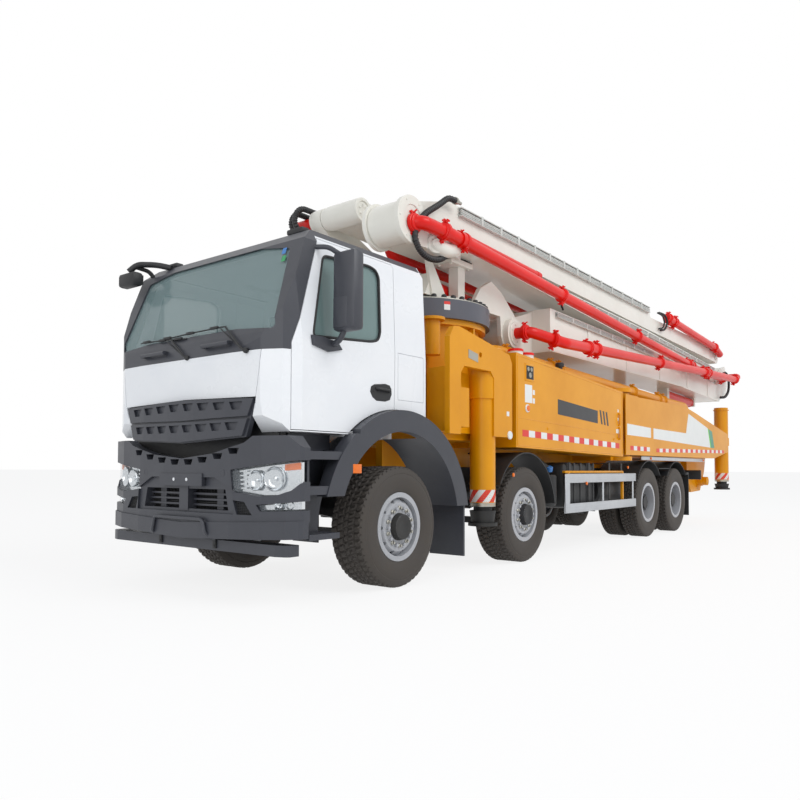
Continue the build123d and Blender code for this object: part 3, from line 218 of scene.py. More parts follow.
CHROME = finish("chromed_rod", "#dddfe2", "#dddfe2", 0.1, 1.0)
REFLECTOR = finish("vapour_coated_reflector", "#e2e5e8", "#cfd3d6", 0.14, 1.0)
SEAT_CLOTH = finish("woven_seat_cloth", "#3a3b40", "#303136", 0.85, grain_mm=5.0, depth=0.4)
AMBER = finish("amber_acrylic_lens", "#f07a1c", "#e66c12", 0.18, **LENS)
LAMP_RED = finish("red_acrylic_lens", "#b3121a", "#a30e16", 0.18, **LENS)
STICKER_WHITE = finish("white_beaded_film", "#e9ebe9", "#dfe2e0", 0.42, **BEADED)
STICKER_RED = finish("red_beaded_film", "#e0362c", "#d42d24", 0.42, **BEADED)
STICKER_BLUE = finish("blue_vinyl_film", "#3f7fc4", "#3876ba", 0.4, **VINYL)
STICKER_GREEN = finish("green_vinyl_film", "#2f9a5c", "#2a9054", 0.4, **VINYL)
BAND_BLACK = finish("black_vinyl_film", "#26282c", "#1f2125", 0.38, **VINYL)
BAND_LIME = finish("lime_vinyl_film", "#6fd02c", "#66c526", 0.38, **VINYL)
BAND_GREEN = finish("pine_vinyl_film", "#3f9277", "#388a70", 0.38, **VINYL)
# Painted reflection: the windscreen's pale grey-green colour on its partly opaque face stands in for the
# light the glass reflects; only the faint green tint is the glass's own.
SCREEN_GLASS_PAINTED_REFLECTION = glass("screen_glass_with_painted_reflection", "#94adae", 0.6)
SIDE_GLASS = glass("tempered_side_glass", "#86a09e", 0.4)
LAMP_GLASS = glass("polycarbonate_lamp_lens", "#c4ccd0", 0.9)
print("finishes", len(bpy.data.materials))

# %% [markdown]

# %% [markdown]
# ## Dress the construction
# A part whose shape is already right keeps it and only gets its finish.

# %% Assign finishes
FINISH = {
    "cab_shell": CAB_WHITE, "door_left": CAB_WHITE, "door_right": CAB_WHITE, "bumper": GREY_PP,
    "front_fenders": GREY_PP, "cab_front_frame": GREY_PP, "mudguards": BLACK_PP,
    "side_guards": DRAWN_ALUMINIUM,
    "door_left_fittings": BLACK_PP, "door_right_fittings": BLACK_PP, "cab_interior": SEAT_CLOTH,
    "windscreen": SCREEN_GLASS_PAINTED_REFLECTION, "headlamps": LAMP_GLASS, "axles": FRAME_BLACK, "frame_rails": FRAME_BLACK,
    "base_frame": PUMP_YELLOW, "concrete_pump": PUMP_YELLOW, "slewing_ring": RING_GREY, "turret": BOOM_WHITE,
}
FAMILY = {
    "tyre": TYRE_RUBBER, "rim": RIM_SILVER, "knuckle": FRAME_BLACK, "lines": LINE_RED, "hoses": HOSE_RUBBER,
    "arm": BOOM_WHITE, "outrigger": PUMP_YELLOW, "jack": FRAME_BLACK,
}
for name, item in NODES.items():
    material = FINISH.get(name) or FAMILY[name.split("_")[0]]
    if not item.material_slots:
        item.data.materials.append(material)
    for slot in item.material_slots:
        slot.material = material
print("dressed", len(NODES), "nodes")

# %% [markdown]
# ## A small mesh workshop
# Every fitting is made of a few shapes: a block with eased edges, a turned shape, a plate cut to an
# outline, and a tube along a path. Each helper adds its shape to one mesh, in metres from the first
# axle. `piece` turns such a mesh into a piece that rides on a body of the machine, and `both_sides`
# fits pieces that are drawn for the left-hand side and mirrored to the right.

# %% Mesh helpers
PIECES = []
SHARP_DEGREES = 35
THIN = 1e-6


def block(bm, x, y, z, ease=0.004):
    """A block with bevelled edges between two x, two y and two z."""
    low, high = [Vector(corner) for corner in zip(sorted(x), sorted(y), sorted(z))]
    size = high - low
    place = Matrix.LocRotScale((low + high) / 2, None, size)
    made = bmesh.ops.create_cube(bm, size=1.0, matrix=place)["verts"]
    edges = {edge for vertex in made for edge in vertex.link_edges}
    bmesh.ops.bevel(bm, geom=list(edges), offset=min(ease, 0.3 * min(size)), segments=2, profile=0.5,
                    affect="EDGES")


def frame_of(direction):
    """A direction as a unit vector, and two unit vectors square to it."""
    along = Vector(direction).normalized()
    side = along.cross(UP if abs(along.z) < 0.9 else AHEAD).normalized()
    return along, side, side.cross(along).normalized()


def loop(centre, side, up, radius, count, first=0.0):
    """Points round a centre, counted from side towards up."""
    angles = [first + 2 * math.pi * index / count for index in range(count)]
    return [centre + side * (radius * math.cos(angle)) + up * (radius * math.sin(angle)) for angle in angles]


def skin(bm, rows, closed=True, capped=True, around=False):
    """Joins rows of points by faces and gives back the faces at the two ends.

    A row may be a single point. closed joins each row's end to its start, and around joins the
    last row to the first.
    """
    rows = [[bm.verts.new(point) for point in row] for row in rows]
    for low, high in zip(rows, rows[1:] + (rows[:1] if around else [])):
        count = max(len(low), len(high))
        for index in range(count if closed else count - 1):
            after = index + 1
            corners = (low[index % len(low)], low[after % len(low)], high[after % len(high)],
                       high[index % len(high)])
            if len(set(corners)) > 2:
                bm.faces.new(list(dict.fromkeys(corners)))
    return [bm.faces.new(end) for end in (rows[0][::-1], rows[-1]) if capped and len(end) > 2]


def turned(bm, start, direction, profile, segments=32):
    """A turned shape: profile lists (distance along the axis, radius), closed at both ends."""
    along, side, up = frame_of(direction)
    rows = []
    for reach, radius in profile:
        centre = Vector(start) + along * reach
        rows.append(loop(centre, side, up, radius, segments) if radius > THIN else [centre])
    skin(bm, rows)


def boss(bm, place, direction, radius, height, edge=None, segments=24):
    """A round with a flat top. edge is the (height, radius) that its rim is eased to."""
    rim = [edge, (edge[0], 0)] if edge else [(height, 0)]
    turned(bm, place, direction, [(0, radius), (height, radius)] + rim, segments)


def rod(bm, start, end, radius, segments=24, chamfer=0.15):
    """A round bar with eased ends."""
    along = Vector(end) - Vector(start)
    reach = along.length
    ease = min(radius * chamfer, reach * 0.3)
    turned(bm, start, along,
           [(0, radius - ease), (ease, radius), (reach - ease, radius), (reach, radius - ease)],
           segments)


def plate(bm, outline, y, ease=0.002):
    """A plate cut to an (x, z) outline between two y."""
    ends = skin(bm, [[(px, level, pz) for px, pz in outline] for level in y])
    if ease:
        rims = [edge for face in ends for edge in face.edges]
        bmesh.ops.bevel(bm, geom=rims, offset=ease, segments=1, affect="EDGES")


def film(bm, outline, y, proud=0.0012):
    """A thin film on a side face at y, cut to an (x, z) outline."""
    plate(bm, outline, (y, y + proud), 0)


def rounded_path(points, radius, steps=6):
    """The points with each corner turned into an arc of about the given radius."""
    points = [Vector(point) for point in points]
    path = points[:1]
    for before, corner, after in zip(points, points[1:], points[2:]):
        back, ahead = (before - corner), (after - corner)
        reach = min(radius, back.length * 0.49, ahead.length * 0.49)
        first, last = corner + back.normalized() * reach, corner + ahead.normalized() * reach
        for index in range(steps + 1):
            share = index / steps
            path.append(first * (1 - share) ** 2 + corner * (2 * share * (1 - share)) + last * share ** 2)
    return path + points[-1:]


def tube(bm, points, radius, bend=0.08, segments=12, rib=0.0, pitch=0.012):
    """A tube along a path. rib makes it corrugated, with one rib every pitch metres."""
    path = rounded_path(points, bend)
    if rib:
        fine = []
        for start, end in zip(path, path[1:]):
            count = max(1, round((end - start).length / (pitch / 2)))
            fine += [start.lerp(end, index / count) for index in range(count)]
        path = fine + [path[-1]]
    rows = []
    side = None
    for index, centre in enumerate(path):
        along = (path[min(index + 1, len(path) - 1)] - path[max(index - 1, 0)]).normalized()
        if side is None:
            _, side, _ = frame_of(along)
        side = (side - along * side.dot(along)).normalized()
        girth = radius - (rib if index % 2 else 0.0)
        rows.append(loop(centre, side, along.cross(side), girth, segments))
    skin(bm, rows)


def piece(name, body, material, shapes, sign=1, smooth=True, slot=None, replaces=None):
    """Draws rows of (helper, settings) as one mesh that rides on a body. Sign -1 mirrors it."""
    bm = bmesh.new()
    for helper, *settings in shapes:
        helper(bm, *settings)
    bmesh.ops.scale(bm, verts=bm.verts[:], vec=(1, sign, 1))
    bmesh.ops.translate(bm, verts=bm.verts[:], vec=(AXLE_1, 0, 0))
    bmesh.ops.recalc_face_normals(bm, faces=bm.faces[:])
    mesh = bpy.data.meshes.new(name)
    bm.to_mesh(mesh)
    bm.free()
    mesh.materials.append(material)
    if smooth:
        mesh.shade_smooth()
        mesh.set_sharp_from_angle(angle=math.radians(SHARP_DEGREES))
    made = bpy.data.objects.new(name, mesh)
    bpy.context.scene.collection.objects.link(made)
    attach(made, body)
    if replaces:
        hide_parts(replaces)
    PIECES.append(name)
    return made


def both_sides(*rows):
    """Fits every row as a left-hand piece, then every row as its right-hand twin."""
    for side, sign in SIDES.items():
        for name, body, material, shapes, *options in rows:
            settings = dict(*options)
            if "replaces" in settings:
                settings["replaces"] = settings["replaces"].replace("SIDE", side)
            piece(name.replace("SIDE", side), body.replace("SIDE", side), material, shapes, sign, **settings)


# %% [markdown]
# ## Tyres
# A truck tyre is a moulded casing: a flat tread cut into blocks by zig-zag grooves, rounded
# shoulders with lugs, and smooth walls with a raised rib. The construction keeps a plain ring with
# the same outline. The dressed tyre is turned from a profile, and every other stretch of the tread
# bands is pushed in by the groove depth, which gives real blocks.

# %% Tyre meshes
GROOVE = 0.016
GROOVE_ROWS = (0.5, 0.13)       # as shares of half the width
ZIGZAG = 0.6
LUGS = 54
TWIN_GAP = 0.04
WALL = [(0.552, 0.8), (0.6, 0.92), (0.68, 0.985), (0.78, 1.0), (0.86, 0.985), (0.872, 0.965),
        (0.885, 0.975), (0.93, 0.93), (0.962, 0.885)]
TREAD = [(0.99, 0.83), (1.0, 0.74), (1.0, 0.56), (0.999, 0.5), (1.0, 0.44), (1.0, 0.2), (0.999, 0.13),
         (1.0, 0.06)]


def tyre(bm, x, y_low, y_high):
    """One tyre with tread blocks, between two y. WALL and TREAD are shares of radius and half width."""
    middle_y, half = (y_low + y_high) / 2, (y_high - y_low) / 2
    half_profile = [(r * TYRE_RADIUS, w * half, cut) for part, cut in ((WALL, False), (TREAD, True)) for r,
                    w in part]
    profile = [(r, -w, cut) for r, w, cut in half_profile] + half_profile[::-1]
    steps = LUGS * 4
    rings = []
    for index in range(steps):
        ring = []
        for row, (r, w, cut) in enumerate(profile):
            phase = (index + (2 if row % 8 < 4 else 0)) % 4
            angle = 2 * math.pi * (index + ZIGZAG * math.sin(row * 1.9)) / steps
            groove = any(abs(abs(w) - share * half) < 0.0036 for share in GROOVE_ROWS)
            girth = r - (GROOVE if cut and (phase == 3 or groove) else 0.0)
            ring.append((x + girth * math.cos(angle), middle_y + w, TYRE_RADIUS + girth * math.sin(angle)))
        rings.append(ring)
    skin(bm, rings, capped=False, around=True)


for axle in AXLE:
    x = AXLE[axle] - AXLE_1
    for side in SIDES:
        node = f"tyre_{axle}_{side}"
        (_, low, _), (_, high, _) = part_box(node)
        width = (high - low - TWIN_GAP) / 2
        spans = [(low, high)] if axle < 3 else [(low, low + width), (high - width, high)]
        piece(f"dressed_{node}", f"wheel_{axle}_{side}", TYRE_RUBBER, [(tyre, x, *span) for span in spans],
              replaces=node)
print("tyres", len(PIECES))

# %% [markdown]
# ## Wheel nuts and hubs
# Each rim is held by ten hexagon nuts on a bolt circle. The front hubs stand out through the rim's
# middle hole behind a dark cap. The rear hubs are the deep planetary kind, set far in.

# %% Nuts and hubs
STUD_CIRCLE = 0.167
STUDS = 10
NUT = [(0, 0.024), (0.022, 0.024), (0.026, 0.02), (0.052, 0.02), (0.056, 0.014), (0.07, 0.012)]
FRONT_HUB = [(0, 0.1225), (0.052, 0.1108), (0.057, 0.105), (0.057, 0.06), (0.0555, 0.056), (0.0555, 0.0)]
REAR_HUB = [(0, 0.134), (0.1265, 0.134), (0.1285, 0.13), (0.1285, 0.102), (0.146, 0.102), (0.1505, 0.098),
            (0.1505, 0.0)]
for axle in AXLE:
    x = AXLE[axle] - AXLE_1
    nut_depth, hub_depth, hub = (0.095, 0.0545, FRONT_HUB) if axle < 3 else (0.298, 0.19, REAR_HUB)
    for side, sign in SIDES.items():
        outer = max(abs(corner[1]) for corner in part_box(f"rim_{axle}_{side}"))
        studs = loop(Vector((x, outer - nut_depth, TYRE_RADIUS)), AHEAD, UP, STUD_CIRCLE, STUDS,
                     math.pi / STUDS)
        piece(f"nuts_{axle}_{side}", f"wheel_{axle}_{side}", ZINC_STEEL,
              [(turned, place, LEFT, NUT, 6) for place in studs],
              sign, slot="rim_silver")
        piece(f"hub_{axle}_{side}", f"wheel_{axle}_{side}", FRAME_BLACK,
              [(turned, (x, outer - hub_depth, TYRE_RADIUS), LEFT, hub, 44)], sign, slot="rim_silver")
print("pieces", len(PIECES))

# %% [markdown]
# ## The face of the cab
# Behind each clear lens sits a bright housing with round reflector bowls, pressed and then coated
# with vaporised aluminium. The bumper curves back to the sides, so the housings follow the same
# plan line as the bumper does.

# %% Lamp housings and bowls
FACE_PLAN = [(0.25, 1.46), (0.62, 1.448), (0.94, 1.415), (1.15, 1.35), (1.225, 1.285), (1.24, 1.25)]


def along_line(line, place):
    """The second measure of a line of pairs, where its first measure is place."""
    for (a0, b0), (a1, b1) in zip(line, line[1:]):
        if place <= a1:
            return b0 + (b1 - b0) * (place - a0) / (a1 - a0)
    return line[-1][1]


def face_x(y):
    """How far forward the bumper's skin stands at a distance y from the middle."""
    return along_line(FACE_PLAN, max(abs(y), FACE_PLAN[0][0]))


def face_panel(bm, low_line, high_line, set_back, depth, steps=14):
    """A curved panel between a lower and an upper (y, z) line, set back from the bumper's skin."""
    y0, y1 = low_line[0][0], low_line[-1][0]
    columns = []
    for index in range(steps + 1):
        y = y0 + (y1 - y0) * index / steps
        x = face_x(y) - set_back
        low, high = along_line(low_line, y), along_line(high_line, y)
        columns.append([(x, y, low), (x, y, high), (x - depth, y, high), (x - depth, y, low)])
    skin(bm, columns)


def bowl(bm, place, direction, radius, depth):
    """A reflector bowl with a small bulb shield in it."""
    start = Vector(place) - Vector(direction).normalized() * depth
    dish = [(0, 0), (0, radius * 0.35), (depth * 0.25, radius * 0.72), (depth * 0.6, radius * 0.92),
            (depth, radius), (depth + 0.004, radius + 0.004), (depth, radius + 0.008),
            (depth * 0.5, radius + 0.006), (0, radius * 0.5)]
    turned(bm, start, direction, dish, 36)
    shield = [(0, radius * 0.2), (depth * 0.6, radius * 0.2), (depth * 0.75, radius * 0.1),
              (depth * 0.78, 0)]
    turned(bm, start, direction, shield, 20)


MESH_BACK = 0.035
HOUSING = [(face_panel, [(0.635, 0.872), (0.9, 0.842), (1.06, 0.848), (1.165, 0.884), (1.205, 0.93)],
            [(0.635, 1.03), (1.205, 1.095)], 0.085, 0.012),
           *((face_panel, [(0.64, z), (0.745, z + 0.004)], [(0.64, z + 0.012), (0.745, z + 0.016)],
              0.066, 0.016, 3)
             for z in (0.885 + 0.033 * index for index in range(5))),
           (bowl, (1.368, 0.84, 0.955), (1, 0.1, 0), 0.072, 0.03),
           (bowl, (1.335, 1.015, 0.968), (1, 0.28, 0), 0.086, 0.032),
           (face_panel, [(0.9, 0.732), (1.22, 0.742)], [(0.9, 0.762), (1.22, 0.8)], 0.07, 0.01),
           (bowl, (1.335, 1.06, 0.766), (1, 0.25, 0), 0.028, 0.018),
           (bowl, (1.29, 1.14, 0.77), (1, 0.4, 0), 0.026, 0.018)]
MESH = [(face_panel, [(0.645, 0.688), (0.86, 0.688)], [(0.645, 0.805), (0.86, 0.805)], 0.075, 0.006, 4)]
for index in range(9):
    y, z = 0.655 + index * 0.022, 0.695 + index * 0.0125
    MESH.append((rod, (face_x(y) - MESH_BACK, y, 0.69), (face_x(y) - MESH_BACK, y, 0.8), 0.003, 6))
    MESH.append((tube, [(face_x(y) - MESH_BACK, y, z) for y in (0.65, 0.75, 0.85)], 0.003, 0.02, 6))
both_sides(
    ("lamp_housing_SIDE", "chassis", REFLECTOR, HOUSING, {"slot": "lamp_clear"}),
    ("front_indicator_SIDE", "chassis", AMBER,
     [(face_panel, [(1.1, 1.03), (1.2, 1.04)], [(1.1, 1.078), (1.2, 1.092)], 0.06, 0.012, 4)],
     {"slot": "lamp_clear"}),
    ("bumper_mesh_SIDE", "chassis", BLACK_PP, MESH))
print("pieces", len(PIECES))

# %% [markdown]
# ## Bumper details
# A blank number-plate carrier with two white cap screws, two parking sensors, the radiator's fins
# behind the intake, and black screws on the lower beam's brackets.

# %% Plate, sensors, fins
SENSOR = [(0, 0.03), (0.003, 0.03), (0.004, 0.027), (0.002, 0.024), (0.003, 0.0)]
piece("plate_screws", "chassis", CAB_WHITE,
      [(boss, (1.4555, y, 0.955), AHEAD, 0.014, 0.003, (0.006, 0.009), 18) for y in (-0.088, 0.088)])
piece("parking_sensors", "chassis", GREY_PP,
      [(turned, (face_x(y) - 0.0165, y, 1.012), AHEAD, SENSOR, 28) for y in (-0.525, 0.525)])
piece("radiator_fins", "chassis", FRAME_BLACK, [
    *((block, (1.29, 1.318), (y, y + 0.005), (0.7, 0.895), 0.001)
      for y in (-0.56 + k * 0.02036 for k in range(56))),
    *((block, (1.284, 1.322), (-0.57, 0.57), (z, z + 0.01), 0.001) for z in (0.7, 0.76, 0.82, 0.88)),
    (block, (1.24, 1.262), (-0.98, 0.98), (1.03, 1.42))])
piece("beam_brackets", "chassis", BLACK_PP, [
    *((boss, (1.388, y, z), AHEAD, 0.011, 0.004, (0.006, 0.006), 6)
      for y in (-0.37, 0.37) for z in (0.492, 0.425)),
    *((block, (1.374, 1.39), (y - 0.02, y + 0.02), (0.405, 0.51), 0.003) for y in (-0.37, 0.37))])

# %% [markdown]
# ## Windscreen fittings
# Two pantograph wipers are parked along the lower edge of the glass: a pressed steel arm from a
# splined pivot and a long blade of rubber in a sprung holder. Above sit two marker lamps, and on
# the kerb side a mirror hangs from the roof corner so that the driver can see the front wheel.

# %% Wipers, marker lamps, kerb mirror
def on_screen(y, z, proud, lift=0.0):
    """A place that stands proud of the windscreen."""
    return (1.4 - (z - 2.09) * 0.3636 + proud, y, z + lift)


WIPERS = {"left": ((1.446, 0.79, 1.953), (1.402, 0.5, 2.175), (-0.44, 2.165), (0.47, 2.188)),
          "right": ((1.446, 0.05, 1.962), (1.404, -0.23, 2.15), (-0.72, 2.172), (-0.03, 2.14))}
for name, (pivot, knee, start, end) in WIPERS.items():
    (px, py, pz), (kx, ky, kz) = pivot, knee
    (ya, za), (yb, zb) = start, end
    shapes = [
        (boss, (px - 0.02, py, pz), (1, 0, 0.2), 0.022, 0.02, (0.028, 0.015), 20),
        (tube, [pivot, (px + 0.012, py * 0.85 + ky * 0.15, pz + 0.03), knee], 0.009, 0.05, 8),
        (tube, [(px - 0.004, py - 0.05, pz + 0.02), (kx + 0.006, ky - 0.05, kz - 0.01)], 0.005, 0.05, 8),
        (tube, [on_screen(ya, za, 0.01), on_screen((ya + yb) / 2, (za + zb) / 2, 0.016, 0.006),
                on_screen(yb, zb, 0.01)], 0.006, 0.4, 8)]
    for share in (0.15, 0.5, 0.85):
        x, y, z = on_screen(ya + (yb - ya) * share, za + (zb - za) * share, 0.008)
        shapes.append((block, (x, x + 0.02), (y - 0.05, y + 0.05), (z - 0.006, z + 0.016)))
    piece(f"wiper_{name}", "chassis", BLACK_PP, shapes)

piece("roof_marker_lamps", "chassis", BLACK_PP, [row for y in (-0.87, 0.84) for row in (
    (block, (0.9, 0.985), (y - 0.095, y + 0.095), (2.972, 3.018), 0.018),
    (block, (0.88, 0.93), (y - 0.06, y + 0.06), (2.96, 2.99), 0.01))])
piece("kerb_mirror", "chassis", BLACK_PP, [
    (tube, [(1.02, -0.8, 2.955), (1.1, -0.93, 2.99), (1.26, -1.0, 2.97), (1.31, -1.06, 2.9)], 0.028, 0.06),
    (tube, [(1.05, -0.98, 2.8), (1.12, -1.0, 2.93), (1.26, -1.03, 2.95)], 0.02, 0.05),
    (block, (1.235, 1.35), (-1.185, -0.925), (2.755, 2.885), 0.03),
    (block, (1.225, 1.245), (-1.165, -0.945), (2.775, 2.865))])
for name, material, y, z in (("blue", STICKER_BLUE, 0.905, 2.775), ("green", STICKER_GREEN, 0.925, 2.705)):
    corners = [(y - 0.022, z - 0.026), (y + 0.022, z - 0.026), (y + 0.022, z + 0.026),
               (y - 0.022, z + 0.026)]
    faces = [[on_screen(py, pz, proud) for py, pz in corners] for proud in (0.0015, 0.0002)]
    piece(f"blank_sticker_{name}", "chassis", material, [(skin, faces)], smooth=False, slot="glazing")
print("pieces", len(PIECES))

# %% [markdown]
# ## Doors
# Toughened glass sits in a black rubber seal, an extrusion bent round the opening. The mirror head
# is a tall grained moulding with a separate, lower glass cover, on a hollow foot. The handle is a
# black dish with a pull bar. They replace the plain fittings and swing with the doors.

# %% Door glass, seals, mirrors and handles
WINDOW = [(1.068, 2.08), (0.36, 2.135), (0.27, 2.16), (0.238, 2.225), (0.232, 2.72), (0.27, 2.775),
          (0.36, 2.795), (0.93, 2.752)]
MIRROR_FOOT = [(1.095, 2.085), (1.08, 2.01), (0.9, 1.975), (0.75, 2.01), (0.8, 2.065), (1.0, 2.085)]
DISH = [(0.092, 1.7), (0.118, 1.652), (0.18, 1.634), (0.3, 1.633), (0.352, 1.66), (0.384, 1.705),
        (0.372, 1.75), (0.33, 1.772), (0.18, 1.789), (0.12, 1.78), (0.096, 1.75)]


def window(inset):
    """The window's outline, set in from the door's skin, which leans in above the waist."""
    return [Vector((x, 1.15 - max(0.0, z - 2.05) * 0.05 - inset, z)) for x, z in WINDOW]


seal = window(0.004)
seam = (seal[0] + seal[1]) / 2
both_sides(
    ("window_seal_SIDE", "door_SIDE", SEAL_RUBBER,
     [(tube, [seam, *seal[1:], seal[0], seam], 0.012, 0.05, 10)],
     {"slot": "trim_black", "replaces": "door_SIDE_fittings"}),
    ("door_glass_SIDE", "door_SIDE", SIDE_GLASS, [(skin, [window(0.018), window(0.023)])],
     {"smooth": False, "slot": "glazing", "replaces": "door_SIDE_fittings"}),
    ("mirror_SIDE", "door_SIDE", GREY_PP, [
        (block, (0.803, 0.93), (1.215, 1.452), (2.128, 2.762), 0.034),
        (block, (0.796, 0.806), (1.243, 1.424), (2.36, 2.735), 0.008),
        (block, (0.796, 0.806), (1.243, 1.424), (2.155, 2.335), 0.008),
        (block, (0.9, 0.934), (1.23, 1.377), (2.15, 2.395), 0.012),
        (tube, [(0.865, 1.155, 2.035), (0.865, 1.25, 2.065), (0.865, 1.3, 2.16)], 0.024, 0.05),
        (tube, [(1.01, 1.1, 2.805), (0.955, 1.2, 2.8), (0.88, 1.275, 2.735)], 0.02, 0.04),
        (plate, MIRROR_FOOT, (1.135, 1.18), 0.01)],
        {"slot": "trim_black", "replaces": "door_SIDE_fittings"}),
    ("door_handle_SIDE", "door_SIDE", BLACK_PP, [
        (plate, DISH, (1.148, 1.156), 0.004),
        (tube, [(0.12, 1.152, 1.728), (0.14, 1.176, 1.73), (0.29, 1.178, 1.735), (0.31, 1.152, 1.738)],
         0.013, 0.02, 10),
        (boss, (0.338, 1.154, 1.715), LEFT, 0.012, 0.004, (0.005, 0.009), 18)],
        {"replaces": "door_SIDE_fittings"}))
print("pieces", len(PIECES))

# %% [markdown]
# ## Seats
# Each seat is foam under woven cloth. A cushion is a crowned form: it is thickest in the middle
# and its sides pull in between the corners. The form is made from rows of points and then
# subdivided, which keeps the crown smooth without a simulation.

# %% Padded seats and dashboard
CUSHION_POINTS = 32
SQUARENESS = 0.35
CUSHION_SIDE = ((-1, 0.86), (-0.55, 1.0), (0.55, 1.0), (1, 0.88))       # (level, share of the plan)
CUSHION_CROWN = ((0.72, 0.125), (0.55, 0.10625), (0.3, 0.15))          # (share of the rim, rise)


def average(points):
    return sum(points, Vector()) / len(points)


def cushion(bm, centre, size, degrees):
    """A crowned pad: size is (length, width, thickness), tilted about the y axis."""
    length, width, thickness = size
    turn = Matrix.Rotation(math.radians(degrees), 3, "Y")
    side = []
    for level, share in CUSHION_SIDE:
        row = []
        for x, y, _ in loop(Vector(), AHEAD, LEFT, 1.0, CUSHION_POINTS, math.pi / CUSHION_POINTS):
            pull = 1 - 0.05 * (x * x - y * y) ** 2
            u, v = [math.copysign(abs(part) ** SQUARENESS, part) * share * pull / 2 for part in (x, y)]
            row.append(Vector(centre) + turn @ Vector((u * length, v * width, level * thickness * 0.38)))
        side.append(row)
    ends = []
    for rim, sign in ((side[0], -1), (side[-1], 1)):
        middle_point = average(rim)
        rows = []
        for share, rise in CUSHION_CROWN:
            lift = turn @ (UP * (sign * thickness * rise))
            rows.append([middle_point + (point - middle_point) * share + lift for point in rim])
        ends.append(rows + [[average(rows[-1]) + turn @ (UP * (sign * thickness * 0.01))]])
    skin(bm, ends[0][::-1] + side + ends[1])


for name, y in (("driver", 0.56), ("passenger", -0.56)):
    for part, centre, size, degrees in (("cushion", (0.17, y, 1.735), (0.48, 0.46, 0.13), 0),
                                        ("back", (-0.055, y, 2.14), (0.64, 0.44, 0.13), -80),
                                        ("headrest", (-0.135, y, 2.575), (0.17, 0.26, 0.1), -84)):
        pad = piece(f"{name}_{part}", "chassis", SEAT_CLOTH, [(cushion, centre, size, degrees)],
                    replaces="cab_interior")
        smoothing = pad.modifiers.new("subdivision", "SUBSURF")
        smoothing.levels = smoothing.render_levels = 1
    piece(f"{name}_seat_base", "chassis", BLACK_PP, [
        (block, (-0.05, 0.4), (y - 0.2, y + 0.2), (1.395, 1.66), 0.02),
        (rod, (-0.115, y - 0.06, 2.42), (-0.128, y - 0.06, 2.56), 0.008),
        (rod, (-0.115, y + 0.06, 2.42), (-0.128, y + 0.06, 2.56), 0.008)], replaces="cab_interior")

DASH = [(1.1, 1.45), (1.26, 1.45), (1.33, 1.6), (1.34, 1.9), (1.26, 1.965), (1.12, 1.975), (1.0, 1.9),
        (0.99, 1.8), (1.06, 1.7)]
piece("dashboard", "chassis", BLACK_PP, [
    (plate, DASH, (-1.01, 1.01), 0.02),
    (block, (0.975, 1.02), (0.33, 0.79), (1.8, 1.93), 0.015),
    (block, (0.985, 1.05), (-0.2, 0.2), (1.62, 1.9), 0.02),
    (tube, [(1.03, 0.56, 1.84), (0.86, 0.56, 2.005)], 0.035, 0.05, 14)], replaces="cab_interior")
WHEEL = Vector((0.85, 0.56, 2.02))
tilt, across, upward = frame_of((-1, 0, 1))
hoop = loop(WHEEL, across, upward, 0.215, 28)
spokes = [loop(WHEEL, across, upward, 0.205, 1, angle)[0] for angle in (0, 2.3, 3.98)]
piece("steering_wheel", "chassis", BLACK_PP, [
    (tube, hoop + hoop[:1], 0.014, 0.01, 10), *((rod, WHEEL, spoke, 0.012, 8) for spoke in spokes),
    (turned, WHEEL - tilt * 0.02, tilt, [(0, 0.05), (0.01, 0.062), (0.03, 0.058), (0.036, 0.03), (0.036, 0)],
     24)],
      replaces="cab_interior")
print("pieces", len(PIECES))

# %% [markdown]
# ## Delivery line couplings
# The red steel pipe is bolted together from lengths with quick couplings: two cast half shells
# clamped over the pipe collars by a bolt and a lever, so each joint shows as two lugs and a band.

# %% Couplings
LINE_RADIUS = 0.07
SHELL = [(0, 0.001), (0.006, 0.014), (0.022, 0.014), (0.026, 0.026), (0.064, 0.026), (0.068, 0.014),
         (0.084, 0.014),
         (0.09, 0.001)]


def coupling(bm, place, direction, radius=LINE_RADIUS, turn=0.0):
    """A two-shell pipe clamp with its pair of ears. SHELL counts its radii from the pipe."""
    along, side, up = frame_of(direction)
    place = Vector(place)
    turned(bm, place - along * 0.045, along, [(reach, radius + rise) for reach, rise in SHELL], 28)
    for flip in (1, -1):
        outward = (up * math.cos(turn) + side * math.sin(turn)) * flip
        across = along.cross(outward)
        root = place + outward * (radius + 0.018) - along * 0.018
        for step in (-0.02, 0.02):
            rod(bm, root + across * step, root + across * step + outward * 0.04, 0.012, 8)
        rod(bm, root + outward * 0.022 - across * 0.045, root + outward * 0.022 + across * 0.05, 0.01, 8)
        rod(bm, root + outward * 0.012 - along * 0.01, root + outward * 0.04 + along * 0.048, 0.009, 8)


def run(y, direction, *places):
    """Couplings on one straight run of pipe, at (x, z) places."""
    return [((x, y, z), direction) for x, z in places]


